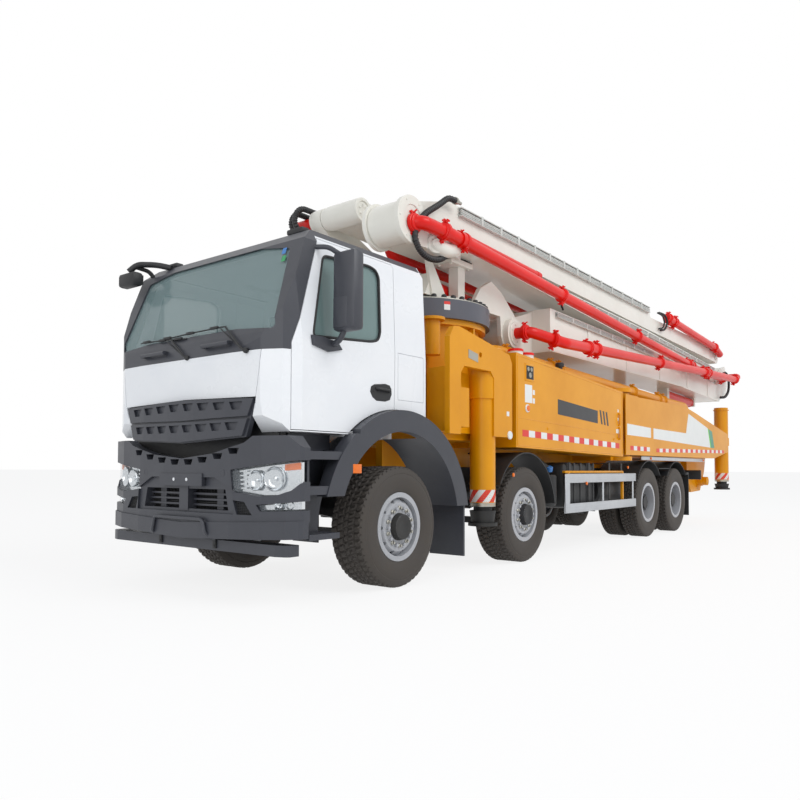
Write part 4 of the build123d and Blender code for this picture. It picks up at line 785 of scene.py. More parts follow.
COUPLINGS = {
    "arm_1": [((-2.95, 0.84, 2.75), (0, 1, 0)), ((-3.3, 1.06, 2.68), (-1, 0.35, -0.1)),
              *run(1.12, (-1, 0, 0.047), (-4.2, 2.694), (-4.48, 2.707), (-7.1, 2.831), (-9.7, 2.953)),
              ((-9.95, 1.12, 2.963), (-1, 0, 0.036)), ((-12.02, 1.12, 3.038), (-1, 0, 0.06))],
    "arm_2": [((-0.62, 0.862, 3.49), (0, 1, 0)), ((-1.0, 0.957, 3.482), (-1, 0, -0.02)),
              *run(0.96, (-1, 0, -0.051), (-1.36, 3.468), (-3.74, 3.344), (-6.5, 3.202), (-9.18, 3.064),
                   (-9.42, 3.052)), ((-11.85, 0.905, 3.058), (-1, 0, 0.01))],
    "arm_3": [*run(0.85, (-1, 0, -0.04), (-8.42, 3.826), (-8.75, 3.811)),
              ((-11.45, 0.85, 3.703), (-1, 0, -0.05))],
    "arm_4": run(-0.16, (1, 0, 0.0235), (-3.9, 3.503), (-6.6, 3.44), (-9.2, 3.379)),
    "arm_5": run(-0.985, (-1, 0, -0.028), (-1.75, 3.549), (-4.4, 3.474), (-7.0, 3.401), (-9.3, 3.336)),
}
for body, places in COUPLINGS.items():
    piece(f"couplings_{body}", body, LINE_RED,
          [(coupling, *place, LINE_RADIUS, 0.35 * math.sin(index * 2.1)) for index,
           place in enumerate(places)])
print("couplings", sum(len(places) for places in COUPLINGS.values()))

# %% [markdown]
# ## Boom fittings
# Along the edge of arms 1, 2, 3 and 5 runs a ribbed aluminium tray that carries the hydraulic
# pipes. Doubler straps are welded on upright, and hinge pins end in round retaining plates held by
# a ring of screws.

# %% Trays, pin plates, weld straps
def pin_plate(bm, x, y, z, sign, radius):
    """A retaining plate on the end of a hinge pin, with six screws."""
    turned(bm, (x, y, z), LEFT * sign,
           [(0, radius), (0.01, radius), (0.014, radius - 0.004), (0.014, radius * 0.45),
                                        (0.006, radius * 0.42), (0.006, 0.0)], 36)
    for place in loop(Vector((x, y + sign * 0.013, z)), AHEAD, UP, radius * 0.72, 6, 0.3):
        boss(bm, place, LEFT * sign, 0.012, 0.009, (0.011, 0.008), 6)


def tray(bm, start, end, y, height, reach, sign=1):
    """A ribbed cable tray along a side plate from (x, z) start to end."""
    (x0, z0), (x1, z1) = start, end
    for low, high, out in ((0.0, 0.012, reach), (height - 0.012, height, reach), (0.0, height, 0.006)):
        plate(bm, [(x0, z0 + low), (x1, z1 + low), (x1, z1 + high), (x0, z0 + high)], (y, y + sign * out))
    pipe_y = y + sign * (reach - 0.012)
    for rise in (0.028, 0.048, 0.066):
        tube(bm, [(x0, pipe_y, z0 + rise), (x1, pipe_y, z1 + rise)], 0.008, 0.02, 8)
    count = int(math.hypot(x1 - x0, z1 - z0) / 0.42)
    for share in (index / count for index in range(1, count)):
        x, z = x0 + (x1 - x0) * share, z0 + (z1 - z0) * share
        block(bm, (x - 0.018, x + 0.018), (y, y + sign * (reach + 0.006)), (z - 0.006, z + height + 0.006),
              0.003)


def strap(bm, line_low, line_high, y, x):
    """A thin doubler strap welded upright on a side plate, between two (x, z) lines."""
    low, high = [along_line([(-px, pz) for px, pz in line], -x) for line in (line_low, line_high)]
    plate(bm, [(x - 0.05, low + 0.02), (x + 0.05, low + 0.02), (x + 0.05, high - 0.02),
               (x - 0.05, high - 0.02)],
          (y, y + 0.008))


TRAYS = {"arm_3": [((-1.55, 3.835), (-7.55, 3.79), 0.766, 0.1, 0.05)],
         "arm_2": [((-2.1, 3.485), (-7.5, 3.38), 0.766, 0.07, 0.03),
                   ((-7.6, 3.375), (-11.7, 3.215), 0.766, 0.07, 0.03)],
         "arm_1": [((-3.8, 3.08), (-7.55, 3.02), 0.831, 0.07, 0.04)],
         "arm_5": [((-1.5, 3.56), (-9.3, 3.35), -0.902, 0.06, 0.03, -1)]}
for body, rows in TRAYS.items():
    piece(f"tray_{body}", body, TRAY_ALUMINIUM, [(tray, *row) for row in rows])

PIN_PLATES = [
    ("turret", -2.95, 0.701, 2.75, 1, 0.15), ("arm_1", -12.3, 0.831, 3.13, 1, 0.13),
    ("arm_1", -12.3, 0.069, 3.13, -1, 0.13), ("arm_2", -0.62, 0.379, 3.53, -1, 0.12),
    ("arm_3", -11.9, -0.431, 3.6, -1, 0.12), ("arm_3", -11.9, 0.766, 3.6, 1, 0.12),
    ("arm_4", -0.75, 0.061, 3.83, 1, 0.085), ("arm_5", -9.8, -0.449, 3.33, 1, 0.09),
]
for index, (body, *settings) in enumerate(PIN_PLATES):
    piece(f"pin_plate_{index}", body, BOOM_WHITE, [(pin_plate, *settings)])

TIP_COLLAR = [(0, 0.133), (0.018, 0.133), (0.022, 0.129), (0.022, 0.098), (0.01, 0.094), (0.01, 0.06)]
EAR_COLLAR = [(0, 0.242), (0.01, 0.242), (0.014, 0.238), (0.014, 0.15), (0.004, 0.146), (0.004, 0.1)]
piece("arm_4_tip_collar", "arm_4", BOOM_WHITE, [(turned, (-0.75, 0.06, 3.83), LEFT, TIP_COLLAR, 48)])
piece("arm_2_ear_collar", "arm_2", BOOM_WHITE, [
    (turned, (-0.62, 0.831, 3.53), LEFT, EAR_COLLAR, 48),
    *((boss, place, LEFT, 0.011, 0.008, (0.01, 0.006), 8)
      for place in loop(Vector((-0.62, 0.843, 3.53)), AHEAD, UP, 0.205, 6))])
STRAPS = {"arm_2": ([(-2.0, 3.47), (-7.6, 3.17), (-11.85, 2.965)],
                    [(-0.88, 3.6), (-7.6, 3.48), (-12.1, 3.29)],
                    0.766, (-5.1, -8.9)),
          "arm_1": ([(-3.65, 2.604), (-9.3, 2.64), (-11.9, 2.56)],
                    [(-3.65, 3.18), (-7.6, 3.13), (-11.9, 2.9)],
                    0.831, (-4.9, -6.4, -8.0, -9.6, -11.0))}
for body, (low, high, y, places) in STRAPS.items():
    piece(f"straps_{body}", body, BOOM_WHITE, [(strap, low, high, y, x) for x in places])

# %% [markdown]
# ## Boom cylinders
# The hydraulic cylinders work the arms. Their barrels are part of the construction, and here they
# get end glands and a bright chromed rod.

# %% Cylinder glands and rods
piece("gland_arm_2", "arm_2", LINE_RED, [
    (boss, (-1.53, 0.832, 3.58), (1, 0, 0.028), 0.056, 0.1, (0.104, 0.05)),
    (boss, (-3.32, 0.832, 3.5294), (1, 0, 0.028), 0.056, 0.09)])
piece("rod_arm_2", "arm_2", CHROME, [(rod, (-1.43, 0.832, 3.583), (-1.02, 0.832, 3.594), 0.03, 18)],
      slot="line_red")
piece("gland_arm_1", "arm_1", LINE_RED, [
    (boss, (-9.366, 0.45, 2.533), (1, 0, 0.03), 0.095, 0.05, (0.055, 0.085), 28),
    (boss, (-10.9, 0.45, 2.483), (-1, 0, -0.03), 0.095, 0.07, (0.074, 0.085), 28)])

# %% [markdown]
# ## Hydraulic hoses
# Where a hinge turns, the pipes become rubber hoses in black corrugated sleeves. They loop round
# the hinge and end in plated fittings.

# %% Corrugated hose loops
HOSES = (
    ("arm_2", 0.034, 0.007,
     [(-1.34, 0.86, 3.93), (-1.22, 0.86, 3.925), (-1.05, 0.862, 3.8), (-0.8, 0.868, 3.64),
                             (-0.66, 0.872, 3.5), (-0.6, 0.872, 3.36), (-0.68, 0.872, 3.235),
                             (-0.85, 0.868, 3.185),
                             (-1.05, 0.862, 3.215), (-1.2, 0.85, 3.3)]),
    ("arm_3", 0.02, 0.004, [(-8.05, 0.8, 3.88), (-8.2, 0.86, 3.86), (-8.34, 0.86, 3.74), (-8.28, 0.83, 3.6),
                             (-8.12, 0.8, 3.57)]),
    ("arm_3", 0.016, 0.003,
     [(-8.0, 0.79, 3.87), (-8.14, 0.84, 3.84), (-8.24, 0.84, 3.73), (-8.2, 0.82, 3.62),
                             (-8.06, 0.79, 3.59)]),
    ("arm_1", 0.03, 0.006,
     [(-11.75, 0.9, 3.12), (-12.05, 0.93, 3.22), (-12.22, 0.95, 3.1), (-12.22, 0.95, 2.82),
                             (-12.05, 0.92, 2.66), (-11.8, 0.88, 2.64)]),
    ("arm_2", 0.018, 0.003,
     [(-3.55, 0.84, 3.45), (-3.66, 0.9, 3.44), (-3.78, 0.9, 3.36), (-3.95, 0.86, 3.24)]),
    ("arm_2", 0.016, 0.003,
     [(-3.6, 0.83, 3.44), (-3.72, 0.88, 3.42), (-3.84, 0.88, 3.34), (-4.02, 0.84, 3.22)]),
)
for index, (body, radius, rib, points) in enumerate(HOSES):
    piece(f"hinge_hose_{index}", body, HOSE_RUBBER, [(tube, points, radius, 0.16, 12, rib, 0.03)])


def tip_loop(y, reach, rise):
    """The path of a hose that hangs round the hinge at the tip of arm 4."""
    px, pz = -0.75, 3.83
    return [(px - 0.62, y, pz - 0.04), (px - 0.34, y, pz + rise), (px + reach * 0.7, y, pz + rise),
            (px + reach, y, pz - 0.06), (px + 0.06, y, pz - reach * 0.8), (px - 0.56, y, pz - reach * 0.62)]


HOSE_END = [(0, 0.04), (0.03, 0.04), (0.034, 0.026), (0.07, 0.026), (0.07, 0.018), (0.12, 0.018), (0.12, 0)]
piece("hose_loops_arm_5", "arm_5", HOSE_RUBBER,
      [(tube, tip_loop(*row), 0.034, 0.14, 14, 0.008, 0.026)
       for row in ((-0.67, 0.33, 0.13), (-0.79, 0.26, 0.105))],
      replaces="hoses_5")
piece("hose_fittings", "arm_2", ZINC_STEEL, [
    (turned, (-1.34, 0.86, 3.93), (-1, 0, 0), HOSE_END, 18),
    (turned, (-1.2, 0.85, 3.3), (-1, 0, 0.3), HOSE_END, 18)], slot="boom_white")

# %% [markdown]
# ## Front swivel of arm 2
# The cast elbow that joins the arm's pipe to the hinge is a thick painted bend with a bolted
# flange, just under the big drum.

# %% Cast elbow
FLANGE = Vector((-0.98, 0.86, 3.37))
along, across, upward = frame_of((0.55, 0.83, -0.1))
piece("cast_elbow", "arm_2", BOOM_WHITE, [
    (tube, [(-0.98, 0.72, 3.4), (-0.98, 0.86, 3.36), (-1.12, 0.88, 3.33), (-1.36, 0.86, 3.4)], 0.08, 0.12,
     20),
    (turned, FLANGE, along, [(0, 0.1), (0.025, 0.1), (0.03, 0.095), (0.03, 0.05), (0.05, 0.045), (0.05, 0)],
     28),
    *((boss, place, along, 0.011, 0.012, None, 6)
      for place in loop(FLANGE + along * 0.028, across, upward, 0.078, 6))])
print("pieces", len(PIECES))

# %% [markdown]
# ## Slewing ring and rest post
# A ring of long screws in black caps clamps the turret to the ring. The post beside it carries the
# folded boom on a rubber-lined saddle during the drive.

# %% Ring screws
RING = Vector((-1.84, 0, 2.9))
RING_RADIUS = 0.85
CAP = [(0, 0.031), (0.04, 0.03), (0.052, 0.024), (0.056, 0.012), (0.056, 0)]
piece("ring_screw_caps", "chassis", BLACK_PP, [
    (turned, place, UP, CAP, 12) for place in loop(RING - UP * 0.002, AHEAD, LEFT, RING_RADIUS - 0.045, 44)])
piece("ring_seal", "chassis", ZINC_STEEL,
      [(turned, RING - UP * 0.001, UP, [(0, 0.845), (0.012, 0.845), (0.012, 0.74), (0, 0.74)], 64)],
      slot="ring_grey")
for low, high, material, name in ((2.775, 2.835, STICKER_WHITE, "white"),
                                  (2.835, 2.868, STICKER_RED, "red")):
    label = []
    for z in (low, high):
        angles = [0.98 + 0.085 * step / 6 for step in range(7)]
        label.append([(RING.x + 0.8515 * math.cos(angle), 0.8515 * math.sin(angle), z) for angle in angles])
    piece(f"ring_label_{name}", "chassis", material, [(skin, label, False, False)], slot="ring_grey")
piece("saddle_pad", "turret", SEAL_RUBBER, [(block, (-2.075, -1.645), (0.385, 0.615), (3.44, 3.458))],
      slot="boom_white")
piece("post_screws", "turret", BOOM_WHITE, [
    *((boss, (x, y, 3.38), -UP, 0.018, 0.016, None, 6) for x in (-2.04, -1.68) for y in (0.42, 0.58)),
    *((boss, (x, y, 2.966), UP, 0.018, 0.016, None, 6) for x in (-2.06, -1.8) for y in (0.41, 0.54))])
print("pieces", len(PIECES))

# %% [markdown]
# ## Marking tapes
# Trucks wear retro-reflective tape: a film with glass beads, in red and white fields, stuck along
# the sides. Each field is a thin patch of its own that stands a fraction of a millimetre proud.

# %% Tapes and bands
SIDE_Y = 1.24
ARM_Y = 1.235
BAND_PROUD = 0.0014
ON_YELLOW = {"slot": "machine_yellow"}
FLAT = {"smooth": False, "slot": "machine_yellow"}
TAPE = {"red": STICKER_RED, "white": STICKER_WHITE}


def tape(name, body, y, start, end, height, fields):
    """Red and white fields in turn, from (x, z) start to end, as rows for both_sides."""
    rows = []
    for first, (colour, material) in enumerate(TAPE.items()):
        films = []
        for field in range(first, fields, 2):
            (xa, za), (xb, zb) = [Vector(start).lerp(Vector(end), (field + share) / fields)
                                  for share in (0, 0.985)]
            films.append((film, [(xa, za), (xb, zb), (xb, zb + height), (xa, za + height)], y))
        rows.append((f"{name}_{colour}", body, material, films, FLAT))
    return rows


def oblong(x0, x1, z0, z1):
    return [(x0, z0), (x1, z0), (x1, z1), (x0, z1)]


BARS = [(x, x - 0.052, x - 0.105, x - 0.053, drop) for x,
        drop in ((-4.28 - 0.105 * k, 0.006 * k) for k in range(3))]
LABELS = ((-2.19, -2.36, 1.8, 2.005), (-2.375, -2.425, 1.8, 1.86), (-2.375, -2.425, 1.9, 1.955),
          (-4.86, -4.98, 1.56, 1.62), (-4.92, -4.96, 1.74, 1.78), (-4.92, -4.96, 1.86, 1.9))
ARM = "outrigger_rear_SIDE"
both_sides(
    *tape("locker_tape_SIDE", "chassis", SIDE_Y, (-2.13, 1.415), (-4.98, 1.345), 0.075, 19),
    *tape("arm_tape_a_SIDE", ARM, ARM_Y, (-5.42, 1.335), (-6.25, 1.33), 0.065, 6),
    *tape("arm_tape_b_SIDE", ARM, ARM_Y, (-6.55, 1.325), (-10.6, 1.385), 0.06, 27),
    ("arm_band_white_SIDE", ARM, STICKER_WHITE, [
        (film, [(-5.3, 1.72), (-6.3, 1.7), (-6.3, 1.545), (-5.3, 1.555)], ARM_Y),
        (film, [(-6.42, 1.7), (-8.1, 1.69), (-8.25, 2.045), (-9.45, 1.84), (-9.62, 1.475), (-6.42, 1.535)],
         ARM_Y)], FLAT),
    ("arm_band_light_green_SIDE", ARM, BAND_LIME,
     [(film, [(-9.455, 1.838), (-9.51, 1.829), (-9.68, 1.473), (-9.625, 1.475)], ARM_Y, BAND_PROUD)], FLAT),
    ("arm_band_green_SIDE", ARM, BAND_GREEN,
     [(film, [(-9.515, 1.828), (-9.74, 1.79), (-9.9, 1.47), (-9.685, 1.473)], ARM_Y, BAND_PROUD)], FLAT),
    ("locker_band_SIDE", "chassis", BAND_BLACK, [
        (film, [(-3.02, 1.9), (-4.22, 1.835), (-4.22, 1.665), (-3.02, 1.715)], SIDE_Y),
        *((film, [(a, 1.85 - drop), (b, 1.848 - drop), (c, 1.66 - drop), (d, 1.662 - drop)], SIDE_Y)
          for a, b, c, d, drop in BARS)], FLAT),
    ("blank_labels_SIDE", "chassis", STICKER_WHITE, [(film, oblong(*label), SIDE_Y) for label in LABELS],
     FLAT))

# %% [markdown]
# ## Leg marking
# The lower end of each leg tube wears slanted red and white bars. They follow the tube's own
# curve, so that they wrap round it.

# %% Slanted bars on the legs
LEG_RADIUS = 0.135
BAR_PROUD = 0.0012
BAR_COUNT, BAR_ROWS, BAR_HEIGHT = 12, 6, 0.13
WIPER_RING = [(0, 0.137), (0.012, 0.137), (0.014, 0.1352), (0.024, 0.1352), (0.026, 0.137), (0.038, 0.137),
              (0.038, 0.134), (0, 0.134)]


def slanted_bar(bm, number, x, y, low):
    """One bar on a leg tube, as a strip of its skin."""
    columns = []
    for step in range(4):
        column = []
        for share in (row / BAR_ROWS for row in range(BAR_ROWS + 1)):
            angle = 2 * math.pi * (number + step / 3 + share * 1.5) / BAR_COUNT
            centre = Vector((x, y, low + BAR_HEIGHT * share))
            column += loop(centre, AHEAD, LEFT, LEG_RADIUS + BAR_PROUD, 1, angle)
        columns.append(column)
    skin(bm, columns, False, False)


LEG_Y = middle("jack_front_left").y
LEG = {"front": (middle("jack_front_left").x - AXLE_1, 0.7),
       "rear": (middle("jack_rear_left").x - AXLE_1, 0.85)}
for end, (x, low) in LEG.items():
    for side, sign in SIDES.items():
        body = f"outrigger_{end}_{side}"
        for first, (colour, material) in enumerate(TAPE.items()):
            bars = [(slanted_bar, number, x, sign * LEG_Y, low) for number in range(first, BAR_COUNT, 2)]
            piece(f"leg_bars_{end}_{side}_{colour}", body, material, bars, **ON_YELLOW)
        piece(f"leg_wiper_ring_{end}_{side}", body, ZINC_STEEL,
              [(turned, (x, sign * LEG_Y, low - 0.045), UP, WIPER_RING, 40)], **ON_YELLOW)
print("legs at", {end: round(x, 3) for end, (x, low) in LEG.items()}, "y", round(LEG_Y, 3))

# %% [markdown]
# ## Locker fittings
# The locker's side holds a small control window with three gauges. Filler necks with red lids and
# a breather stand on its top, a pressed edge runs round its doors, and amber markers sit along
# the sides.

# %% Control window, caps, edges, lamps
def deck_z(x):
    """The height of the locker's top, which falls towards the rear."""
    return 2.34 - (x + 1.99) * (2.34 - 2.165) / (-5.12 + 1.99)


GAUGES = ((-2.255, 2.18, 0.024), (-2.33, 2.18, 0.024), (-2.3, 2.115, 0.03))
MARKERS = ((-1.98, 0.985, 1.205), (-3.9, 0.865, 1.215), (-5.45, 1.08, 1.18), (-6.35, 1.222, 1.215),
           (-9.2, 1.222, 1.215))
EDGE_Y = 1.239
BREATHER = [(0, 0.035), (0.1, 0.035), (0.1, 0.055), (0.14, 0.055), (0.15, 0.045), (0.15, 0)]
FILLER_CAP = [(0, 0.092), (0.02, 0.092), (0.03, 0.08), (0.032, 0.03), (0.036, 0)]
FILLERS = (-2.32, -2.58)
DOOR_EDGE = [(-2.02, EDGE_Y, 1.31), (-2.02, EDGE_Y, 2.312), (-5.09, EDGE_Y, 2.14), (-5.09, EDGE_Y, 1.262),
             (-2.02, EDGE_Y, 1.31)]
both_sides(
    ("control_frame_SIDE", "chassis", PUMP_YELLOW, [
        (block, (-2.195, -2.405), (1.238, 1.246), (2.045, 2.245)),
        *((turned, (x, 1.246, z), LEFT, [(0, 0.006), (0.004, 0.005), (0.004, 0)], 8)
          for x in (-2.185, -2.395) for z in (2.055, 2.235))]),
    ("control_panel_SIDE", "chassis", BLACK_PP,
     [(block, (-2.215, -2.385), (1.243, 1.248), (2.068, 2.222), 0.003)],
     ON_YELLOW),
    ("control_gauges_SIDE", "chassis", ZINC_STEEL, [
        (turned, (x, 1.247, z), LEFT, [(0, r), (0.006, r), (0.008, r * 0.8), (0.005, r * 0.75), (0.005, 0)],
         24)
        for x, z, r in GAUGES], ON_YELLOW),
    ("locker_edges_SIDE", "chassis", PUMP_YELLOW, [
        (tube, [(-2.02, EDGE_Y, 1.62), (-5.09, EDGE_Y, 1.535)], 0.005, 0.02, 6),
        (tube, DOOR_EDGE, 0.006, 0.015, 6),
        *((turned, (x, SIDE_Y, z), LEFT,
           [(0, 0.02), (0.004, 0.02), (0.007, 0.01), (0.012, 0.01), (0.012, 0)], 18)
          for x, z in ((-2.75, 1.525), (-4.78, 1.47)))]),
    ("marker_base_SIDE", "chassis", STICKER_WHITE, [
        (boss, (x, SIDE_Y, z), LEFT, 0.046, 0.01, (0.016, 0.04)) for x,
        z in ((-1.84, 1.415), (-2.24, 1.735))],
     ON_YELLOW),
    ("side_markers_SIDE", "chassis", AMBER, [
        (turned, (-2.24, 1.254, 1.735), LEFT, [(0, 0.034), (0.008, 0.032), (0.012, 0.02), (0.012, 0)], 24),
        *((turned, (x, y, z), LEFT, [(0, 0.022), (0.01, 0.021), (0.014, 0.014), (0.014, 0)], 20)
          for x, z, y in MARKERS),
        (block, (0.585, 0.69), (1.226, 1.238), (1.01, 1.085), 0.006)], {"slot": "lamp_clear"}),
    ("filler_necks_SIDE", "chassis", STICKER_WHITE, [
        (boss, (x, 1.05, deck_z(x) - 0.002), UP, 0.085, 0.085, (0.09, 0.08), 30) for x in FILLERS],
        ON_YELLOW),
    ("filler_caps_SIDE", "chassis", LINE_RED, [
        (turned, (x, 1.05, deck_z(x) + 0.084), UP, FILLER_CAP, 30) for x in FILLERS]),
    ("breather_SIDE", "chassis", BLACK_PP,
     [(turned, (-3.45, 1.06, deck_z(-3.45) - 0.002), UP, BREATHER, 24)],
     ON_YELLOW))
print("pieces", len(PIECES))

# %% [markdown]
# ## Deck pipe
# The yellow delivery pipe along the deck is held by saddles and joined by couplings of its own.

# %% Deck pipe couplings and saddles
DECK_JOINTS = run(0.85, (-1, 0, -0.023), (-2.45, 2.401), (-3.62, 2.375), (-3.84, 2.37), (-6.55, 2.308),
                  (-7.75, 2.281),
                  (-8.02, 2.275))
piece("deck_pipe_couplings", "chassis", PUMP_YELLOW, [(coupling, *joint, 0.078) for joint in DECK_JOINTS])
piece("deck_pipe_stands", "chassis", PUMP_YELLOW, [
    *((block, (x - 0.03, x + 0.03), (0.83, 0.87), (2.1, 2.33)) for x in (-3.1, -4.55)),
    *((block, (x - 0.03, x + 0.03), (0.52, 0.87), (2.19, 2.225)) for x in (-5.15, -6.2, -7.4))])

# %% [markdown]
# ## Head plate of the front leg
# The arched plate carries a blank type plate and a label. Steel bands hold each leg tube, and the
# rearmost locker door has two pull handles.

# %% Head plate fittings
FRONT_LEG, REAR_LEG = LEG["front"][0], LEG["rear"][0]
BAND = [(0, 0.15), (0.016, 0.15), (0.02, 0.146), (0.02, 0.134), (0, 0.134)]
both_sides(
    ("head_type_plate_SIDE", "outrigger_front_SIDE", ZINC_STEEL,
     [(film, [(-1.02, 2.245), (-1.2, 2.215), (-1.2, 2.13), (-1.02, 2.16)], SIDE_Y, 0.003)], FLAT),
    ("head_label_SIDE", "outrigger_front_SIDE", STICKER_WHITE,
     [(film, oblong(-1.78, -1.835, 1.62, 1.67), SIDE_Y)], FLAT),
    ("leg_bands_SIDE", "outrigger_front_SIDE", PUMP_YELLOW, [
        *((turned, (FRONT_LEG, LEG_Y, z), UP, BAND, 44) for z in (1.79, 2.03, 2.17)),
        *((boss, (FRONT_LEG - 0.148, LEG_Y + 0.03, z), -AHEAD, 0.012, 0.012, None, 6)
          for z in (1.86, 1.93, 2.0))]),
    ("rear_leg_bands_SIDE", "outrigger_rear_SIDE", PUMP_YELLOW,
     [(turned, (REAR_LEG, LEG_Y, z), UP, BAND, 44) for z in (1.55, 1.69, 2.28)]),
    ("locker_handles_SIDE", "chassis", PUMP_YELLOW, [
        (tube, [(-4.955, 1.232, low), (-4.955, 1.262, low), (-4.955, 1.262, high), (-4.955, 1.232, high)],
         0.014, 0.02, 10) for low, high in ((1.68, 1.84), (1.48, 1.64))]))
print("pieces", len(PIECES))

# %% [markdown]
# ## Guards, tanks and rear end
# The side guards are extruded rails with ribs. The fuel tank is strapped to its brackets. At the
# rear the hopper gets its mixer motors and grate bars, and the rear beam its lamps.

# %% Guard ribs, tank straps, rear lamps
GUARD = [*((block, (x, x + 0.05), (1.176, 1.19), (0.505, 0.985)) for x in (-5.66, -4.54)),
         (block, (-3.42, -3.292), (1.184, 1.2125), (0.5, 0.993), 0.012),
         (block, (-9.295, -5.955), (1.18, 1.212), (1.194, 1.254), 0.006),
         (block, (-7.01, -6.95), (0.44, 1.182), (1.2, 1.248)),
         *((tube, [(-5.96, 1.212, z), (-9.29, 1.212, z)], 0.0045, 0.01, 6) for z in (1.205, 1.243))]
for z in (0.5, 0.875):
    GUARD.append((block, (-5.7, -3.3), (1.186, 1.212), (z, z + 0.118), 0.008))
    GUARD += [(tube, [(-3.31, 1.212, z + rise), (-5.69, 1.212, z + rise)], 0.0045, 0.01, 6)
              for rise in (0.012, 0.045, 0.073, 0.106)]
both_sides(
    ("guard_SIDE", "chassis", DRAWN_ALUMINIUM, GUARD, {"replaces": "side_guards"}),
    ("tanks_SIDE", "chassis", BLACK_PP, [
        (block, (-4.4, -3.4), (0.56, 1.125), (0.56, 1.125), 0.045),
        *((block, (x, x + 0.05), (0.555, 1.134), (0.554, 1.131), 0.006)
          for x in (-4.34 + k * 0.2 for k in range(5))),
        (rod, (-5.5, 0.85, 0.76), (-4.62, 0.85, 0.76), 0.25, 40, 0.12),
        (block, (-4.5, -4.46), (0.44, 1.176), (0.94, 0.98))], {"slot": "silver", "replaces": "side_guards"}),
    ("guard_yellow_stays_SIDE", "chassis", PUMP_YELLOW, [
        *((block, (x - 0.02, x + 0.02), (1.14, 1.176), (0.53, 1.02)) for x in (-3.46, -5.28)),
        (block, (-3.36, -5.3), (1.13, 1.172), (1.0, 1.03))], {"slot": "silver"}),
    ("tank_straps_SIDE", "chassis", FRAME_BLACK, [
        (block, (x - 0.03, x + 0.03), y, z, 0.002) for x in (-3.55, -4.15, -4.85, -5.3)
        for y, z in (((0.62, 1.142), (1.128, 1.136)), ((1.136, 1.143), (0.56, 1.136)))], {"slot": "silver"}),
    ("urea_tank_SIDE", "chassis", BLACK_PP, [
        (rod, (-3.13, 1.02, 0.6), (-3.13, 1.02, 0.98), 0.13, 28),
        (block, (-3.24, -3.02), (0.8, 1.1), (0.62, 0.9), 0.02),
        (tube, [(-3.13, 1.02, 0.95), (-3.08, 1.08, 1.05), (-2.98, 0.98, 1.16)], 0.035, 0.06)]),
    ("urea_cap_SIDE", "chassis", STICKER_BLUE,
     [(boss, (-3.09, 1.08, 1.03), (0.3, 0.35, 1), 0.045, 0.05, (0.055, 0.038), 20)], {"slot": "trim_black"}),
    ("rear_lamp_SIDE", "chassis", LAMP_RED, [(block, (-9.62, -9.56), (0.62, 1.06), (0.88, 1.02), 0.012)],
     {"slot": "lamp_clear"}),
    ("rear_lamp_box_SIDE", "chassis", BLACK_PP, [(block, (-9.565, -9.5), (0.43, 1.08), (0.86, 1.04), 0.01)]))

MOTOR = [(0, 0.13), (0.02, 0.13), (0.024, 0.1), (0.1, 0.1), (0.104, 0.085), (0.2, 0.085), (0.205, 0.06),
         (0.205, 0)]
PUMP_END = [(0, 0.12), (0.06, 0.12), (0.07, 0.095), (0.16, 0.095), (0.16, 0)]
motors = [(turned, (-10.55, 0.3, 0.65), (-0.3, 0, -1), PUMP_END, 28)]
for sign in SIDES.values():
    motors.append((turned, (-10.42, sign * 0.76, 0.82), LEFT * sign, MOTOR, 28))
    motors += [(boss, place, LEFT * sign, 0.01, 0.01, None, 6)
               for place in loop(Vector((-10.42, sign * 0.782, 0.82)), AHEAD, UP, 0.112, 8)]
piece("hopper_motors", "chassis", PUMP_YELLOW, motors)
piece("hopper_grate_bars", "chassis", FRAME_BLACK,
      [(rod, (x, -0.72, 1.404), (x, 0.72, 1.404), 0.008, 10) for x in (-9.87 - 0.22 * k for k in range(6))],
      slot="machine_yellow")
print("pieces", len(PIECES))

# %% [markdown]
# ## Studio
# A pale floor, a soft sky all round, and one large lamp over the left shoulder that gives the
# panels their shading. The background is white only for rays that come from the camera, from
# mirrors and through glass, so that it adds no light to the machine.

# %% Floor, sky and lamps
WORLD_LEVEL = 0.62
FLOOR_HALF = 400.0
FLOOR_Z = -0.004
FLOOR_GLOW = 0.84        # how much of the floor is seen as plain white


def make_floor():
    mesh = bpy.data.meshes.new("floor")
    corners = [(x * FLOOR_HALF, y * FLOOR_HALF, FLOOR_Z) for x, y in ((-1, -1), (1, -1), (1, 1), (-1, 1))]
    mesh.from_pydata(corners, [], [(0, 1, 2, 3)])
    floor = bpy.data.objects.new("floor", mesh)
    bpy.context.scene.collection.objects.link(floor)
    material = empty_material("pale_studio_floor")
    diffuse = add(material, "ShaderNodeBsdfDiffuse", {"Color": linear("#fcfcfc")})
    glow = add(material, "ShaderNodeEmission", {"Strength": 1.0})
    rays = add(material, "ShaderNodeLightPath")
    direct = add(material, "ShaderNodeMath", {"operation": "MAXIMUM"},
                 [(0, rays, "Is Camera Ray"), (1, rays, "Is Glossy Ray")])
    share = add(material, "ShaderNodeMath", {"operation": "MULTIPLY", 1: FLOOR_GLOW}, [(0, direct, "Value")])
    mix = add(material, "ShaderNodeMixShader",
              links=[(0, share, "Value"), (1, diffuse, "BSDF"), (2, glow, "Emission")])
    add(material, "ShaderNodeOutputMaterial", links=[("Surface", mix, "Shader")])
    mesh.materials.append(material)


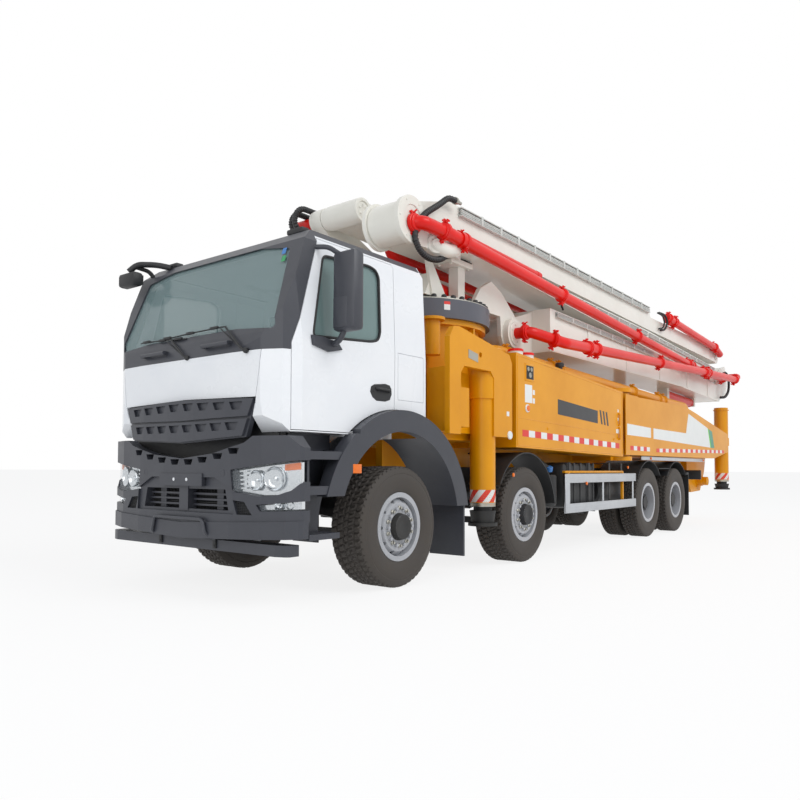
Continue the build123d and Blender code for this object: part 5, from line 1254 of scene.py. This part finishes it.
def make_sky():
    world = bpy.data.worlds.new("studio")
    world.use_nodes = True
    world.node_tree.nodes.clear()
    rays = add(world, "ShaderNodeLightPath")
    seen = add(world, "ShaderNodeMath", {"operation": "MAXIMUM"},
               [(0, rays, "Is Camera Ray"), (1, rays, "Is Transmission Ray")])
    mirrored = add(world, "ShaderNodeMath", {"operation": "MAXIMUM"},
                   [(0, seen, 0), (1, rays, "Is Glossy Ray")])
    soft = add(world, "ShaderNodeBackground", {"Color": linear("#f2f5fa"), "Strength": WORLD_LEVEL})
    white = add(world, "ShaderNodeBackground", {"Color": linear("#ffffff"), "Strength": 1.0})
    mix = add(world, "ShaderNodeMixShader", links=[(0, mirrored, 0), (1, soft, 0), (2, white, 0)])
    add(world, "ShaderNodeOutputWorld", links=[("Surface", mix, 0)])
    bpy.context.scene.world = world


def make_lamp(name, place, aim, size, power):
    light = bpy.data.lights.new(name, "AREA")
    light.shape = "SQUARE"
    light.size = size
    light.energy = power
    lamp = bpy.data.objects.new(name, light)
    lamp.location = place
    lamp.rotation_euler = (Vector(aim) - Vector(place)).to_track_quat("-Z", "Y").to_euler()
    bpy.context.scene.collection.objects.link(lamp)


make_floor()
make_sky()
make_lamp("key_lamp", (2.0, 18.0, 16.0), (0.0, 0.0, 1.5), 12.0, 2100.0)
make_lamp("front_fill", (16.0, 3.0, 6.0), (-6.0, 0.0, 1.8), 9.0, 330.0)
bpy.context.scene.view_settings.view_transform = "Standard"
print("studio ready")

# %% [markdown]
# ## Camera
# The camera stands at the left front corner, about as high as the wheels, and looks back along
# the machine.

# %% Camera
CAMERA_PLACE = Vector((AXLE_1 + 5.0695, 5.151, 1.0477))
CAMERA_YAW = 3.8066
CAMERA_PITCH = 0.0363
CAMERA_ROLL = 0.0032


def make_camera():
    data = bpy.data.cameras.new("camera")
    data.sensor_width = 36.0
    data.lens = 32.64
    data.shift_y = 0.0531
    data.clip_end = 400.0
    camera = bpy.data.objects.new("camera", data)
    level = math.cos(CAMERA_PITCH)
    ahead = Vector((level * math.cos(CAMERA_YAW), level * math.sin(CAMERA_YAW), math.sin(CAMERA_PITCH)))
    turn = ahead.to_track_quat("-Z", "Y").to_matrix() @ Matrix.Rotation(CAMERA_ROLL, 3, "Z")
    camera.matrix_world = Matrix.Translation(CAMERA_PLACE) @ turn.to_4x4()
    bpy.context.scene.collection.objects.link(camera)
    bpy.context.scene.camera = camera


make_camera()
print("camera at", [round(value, 3) for value in CAMERA_PLACE])
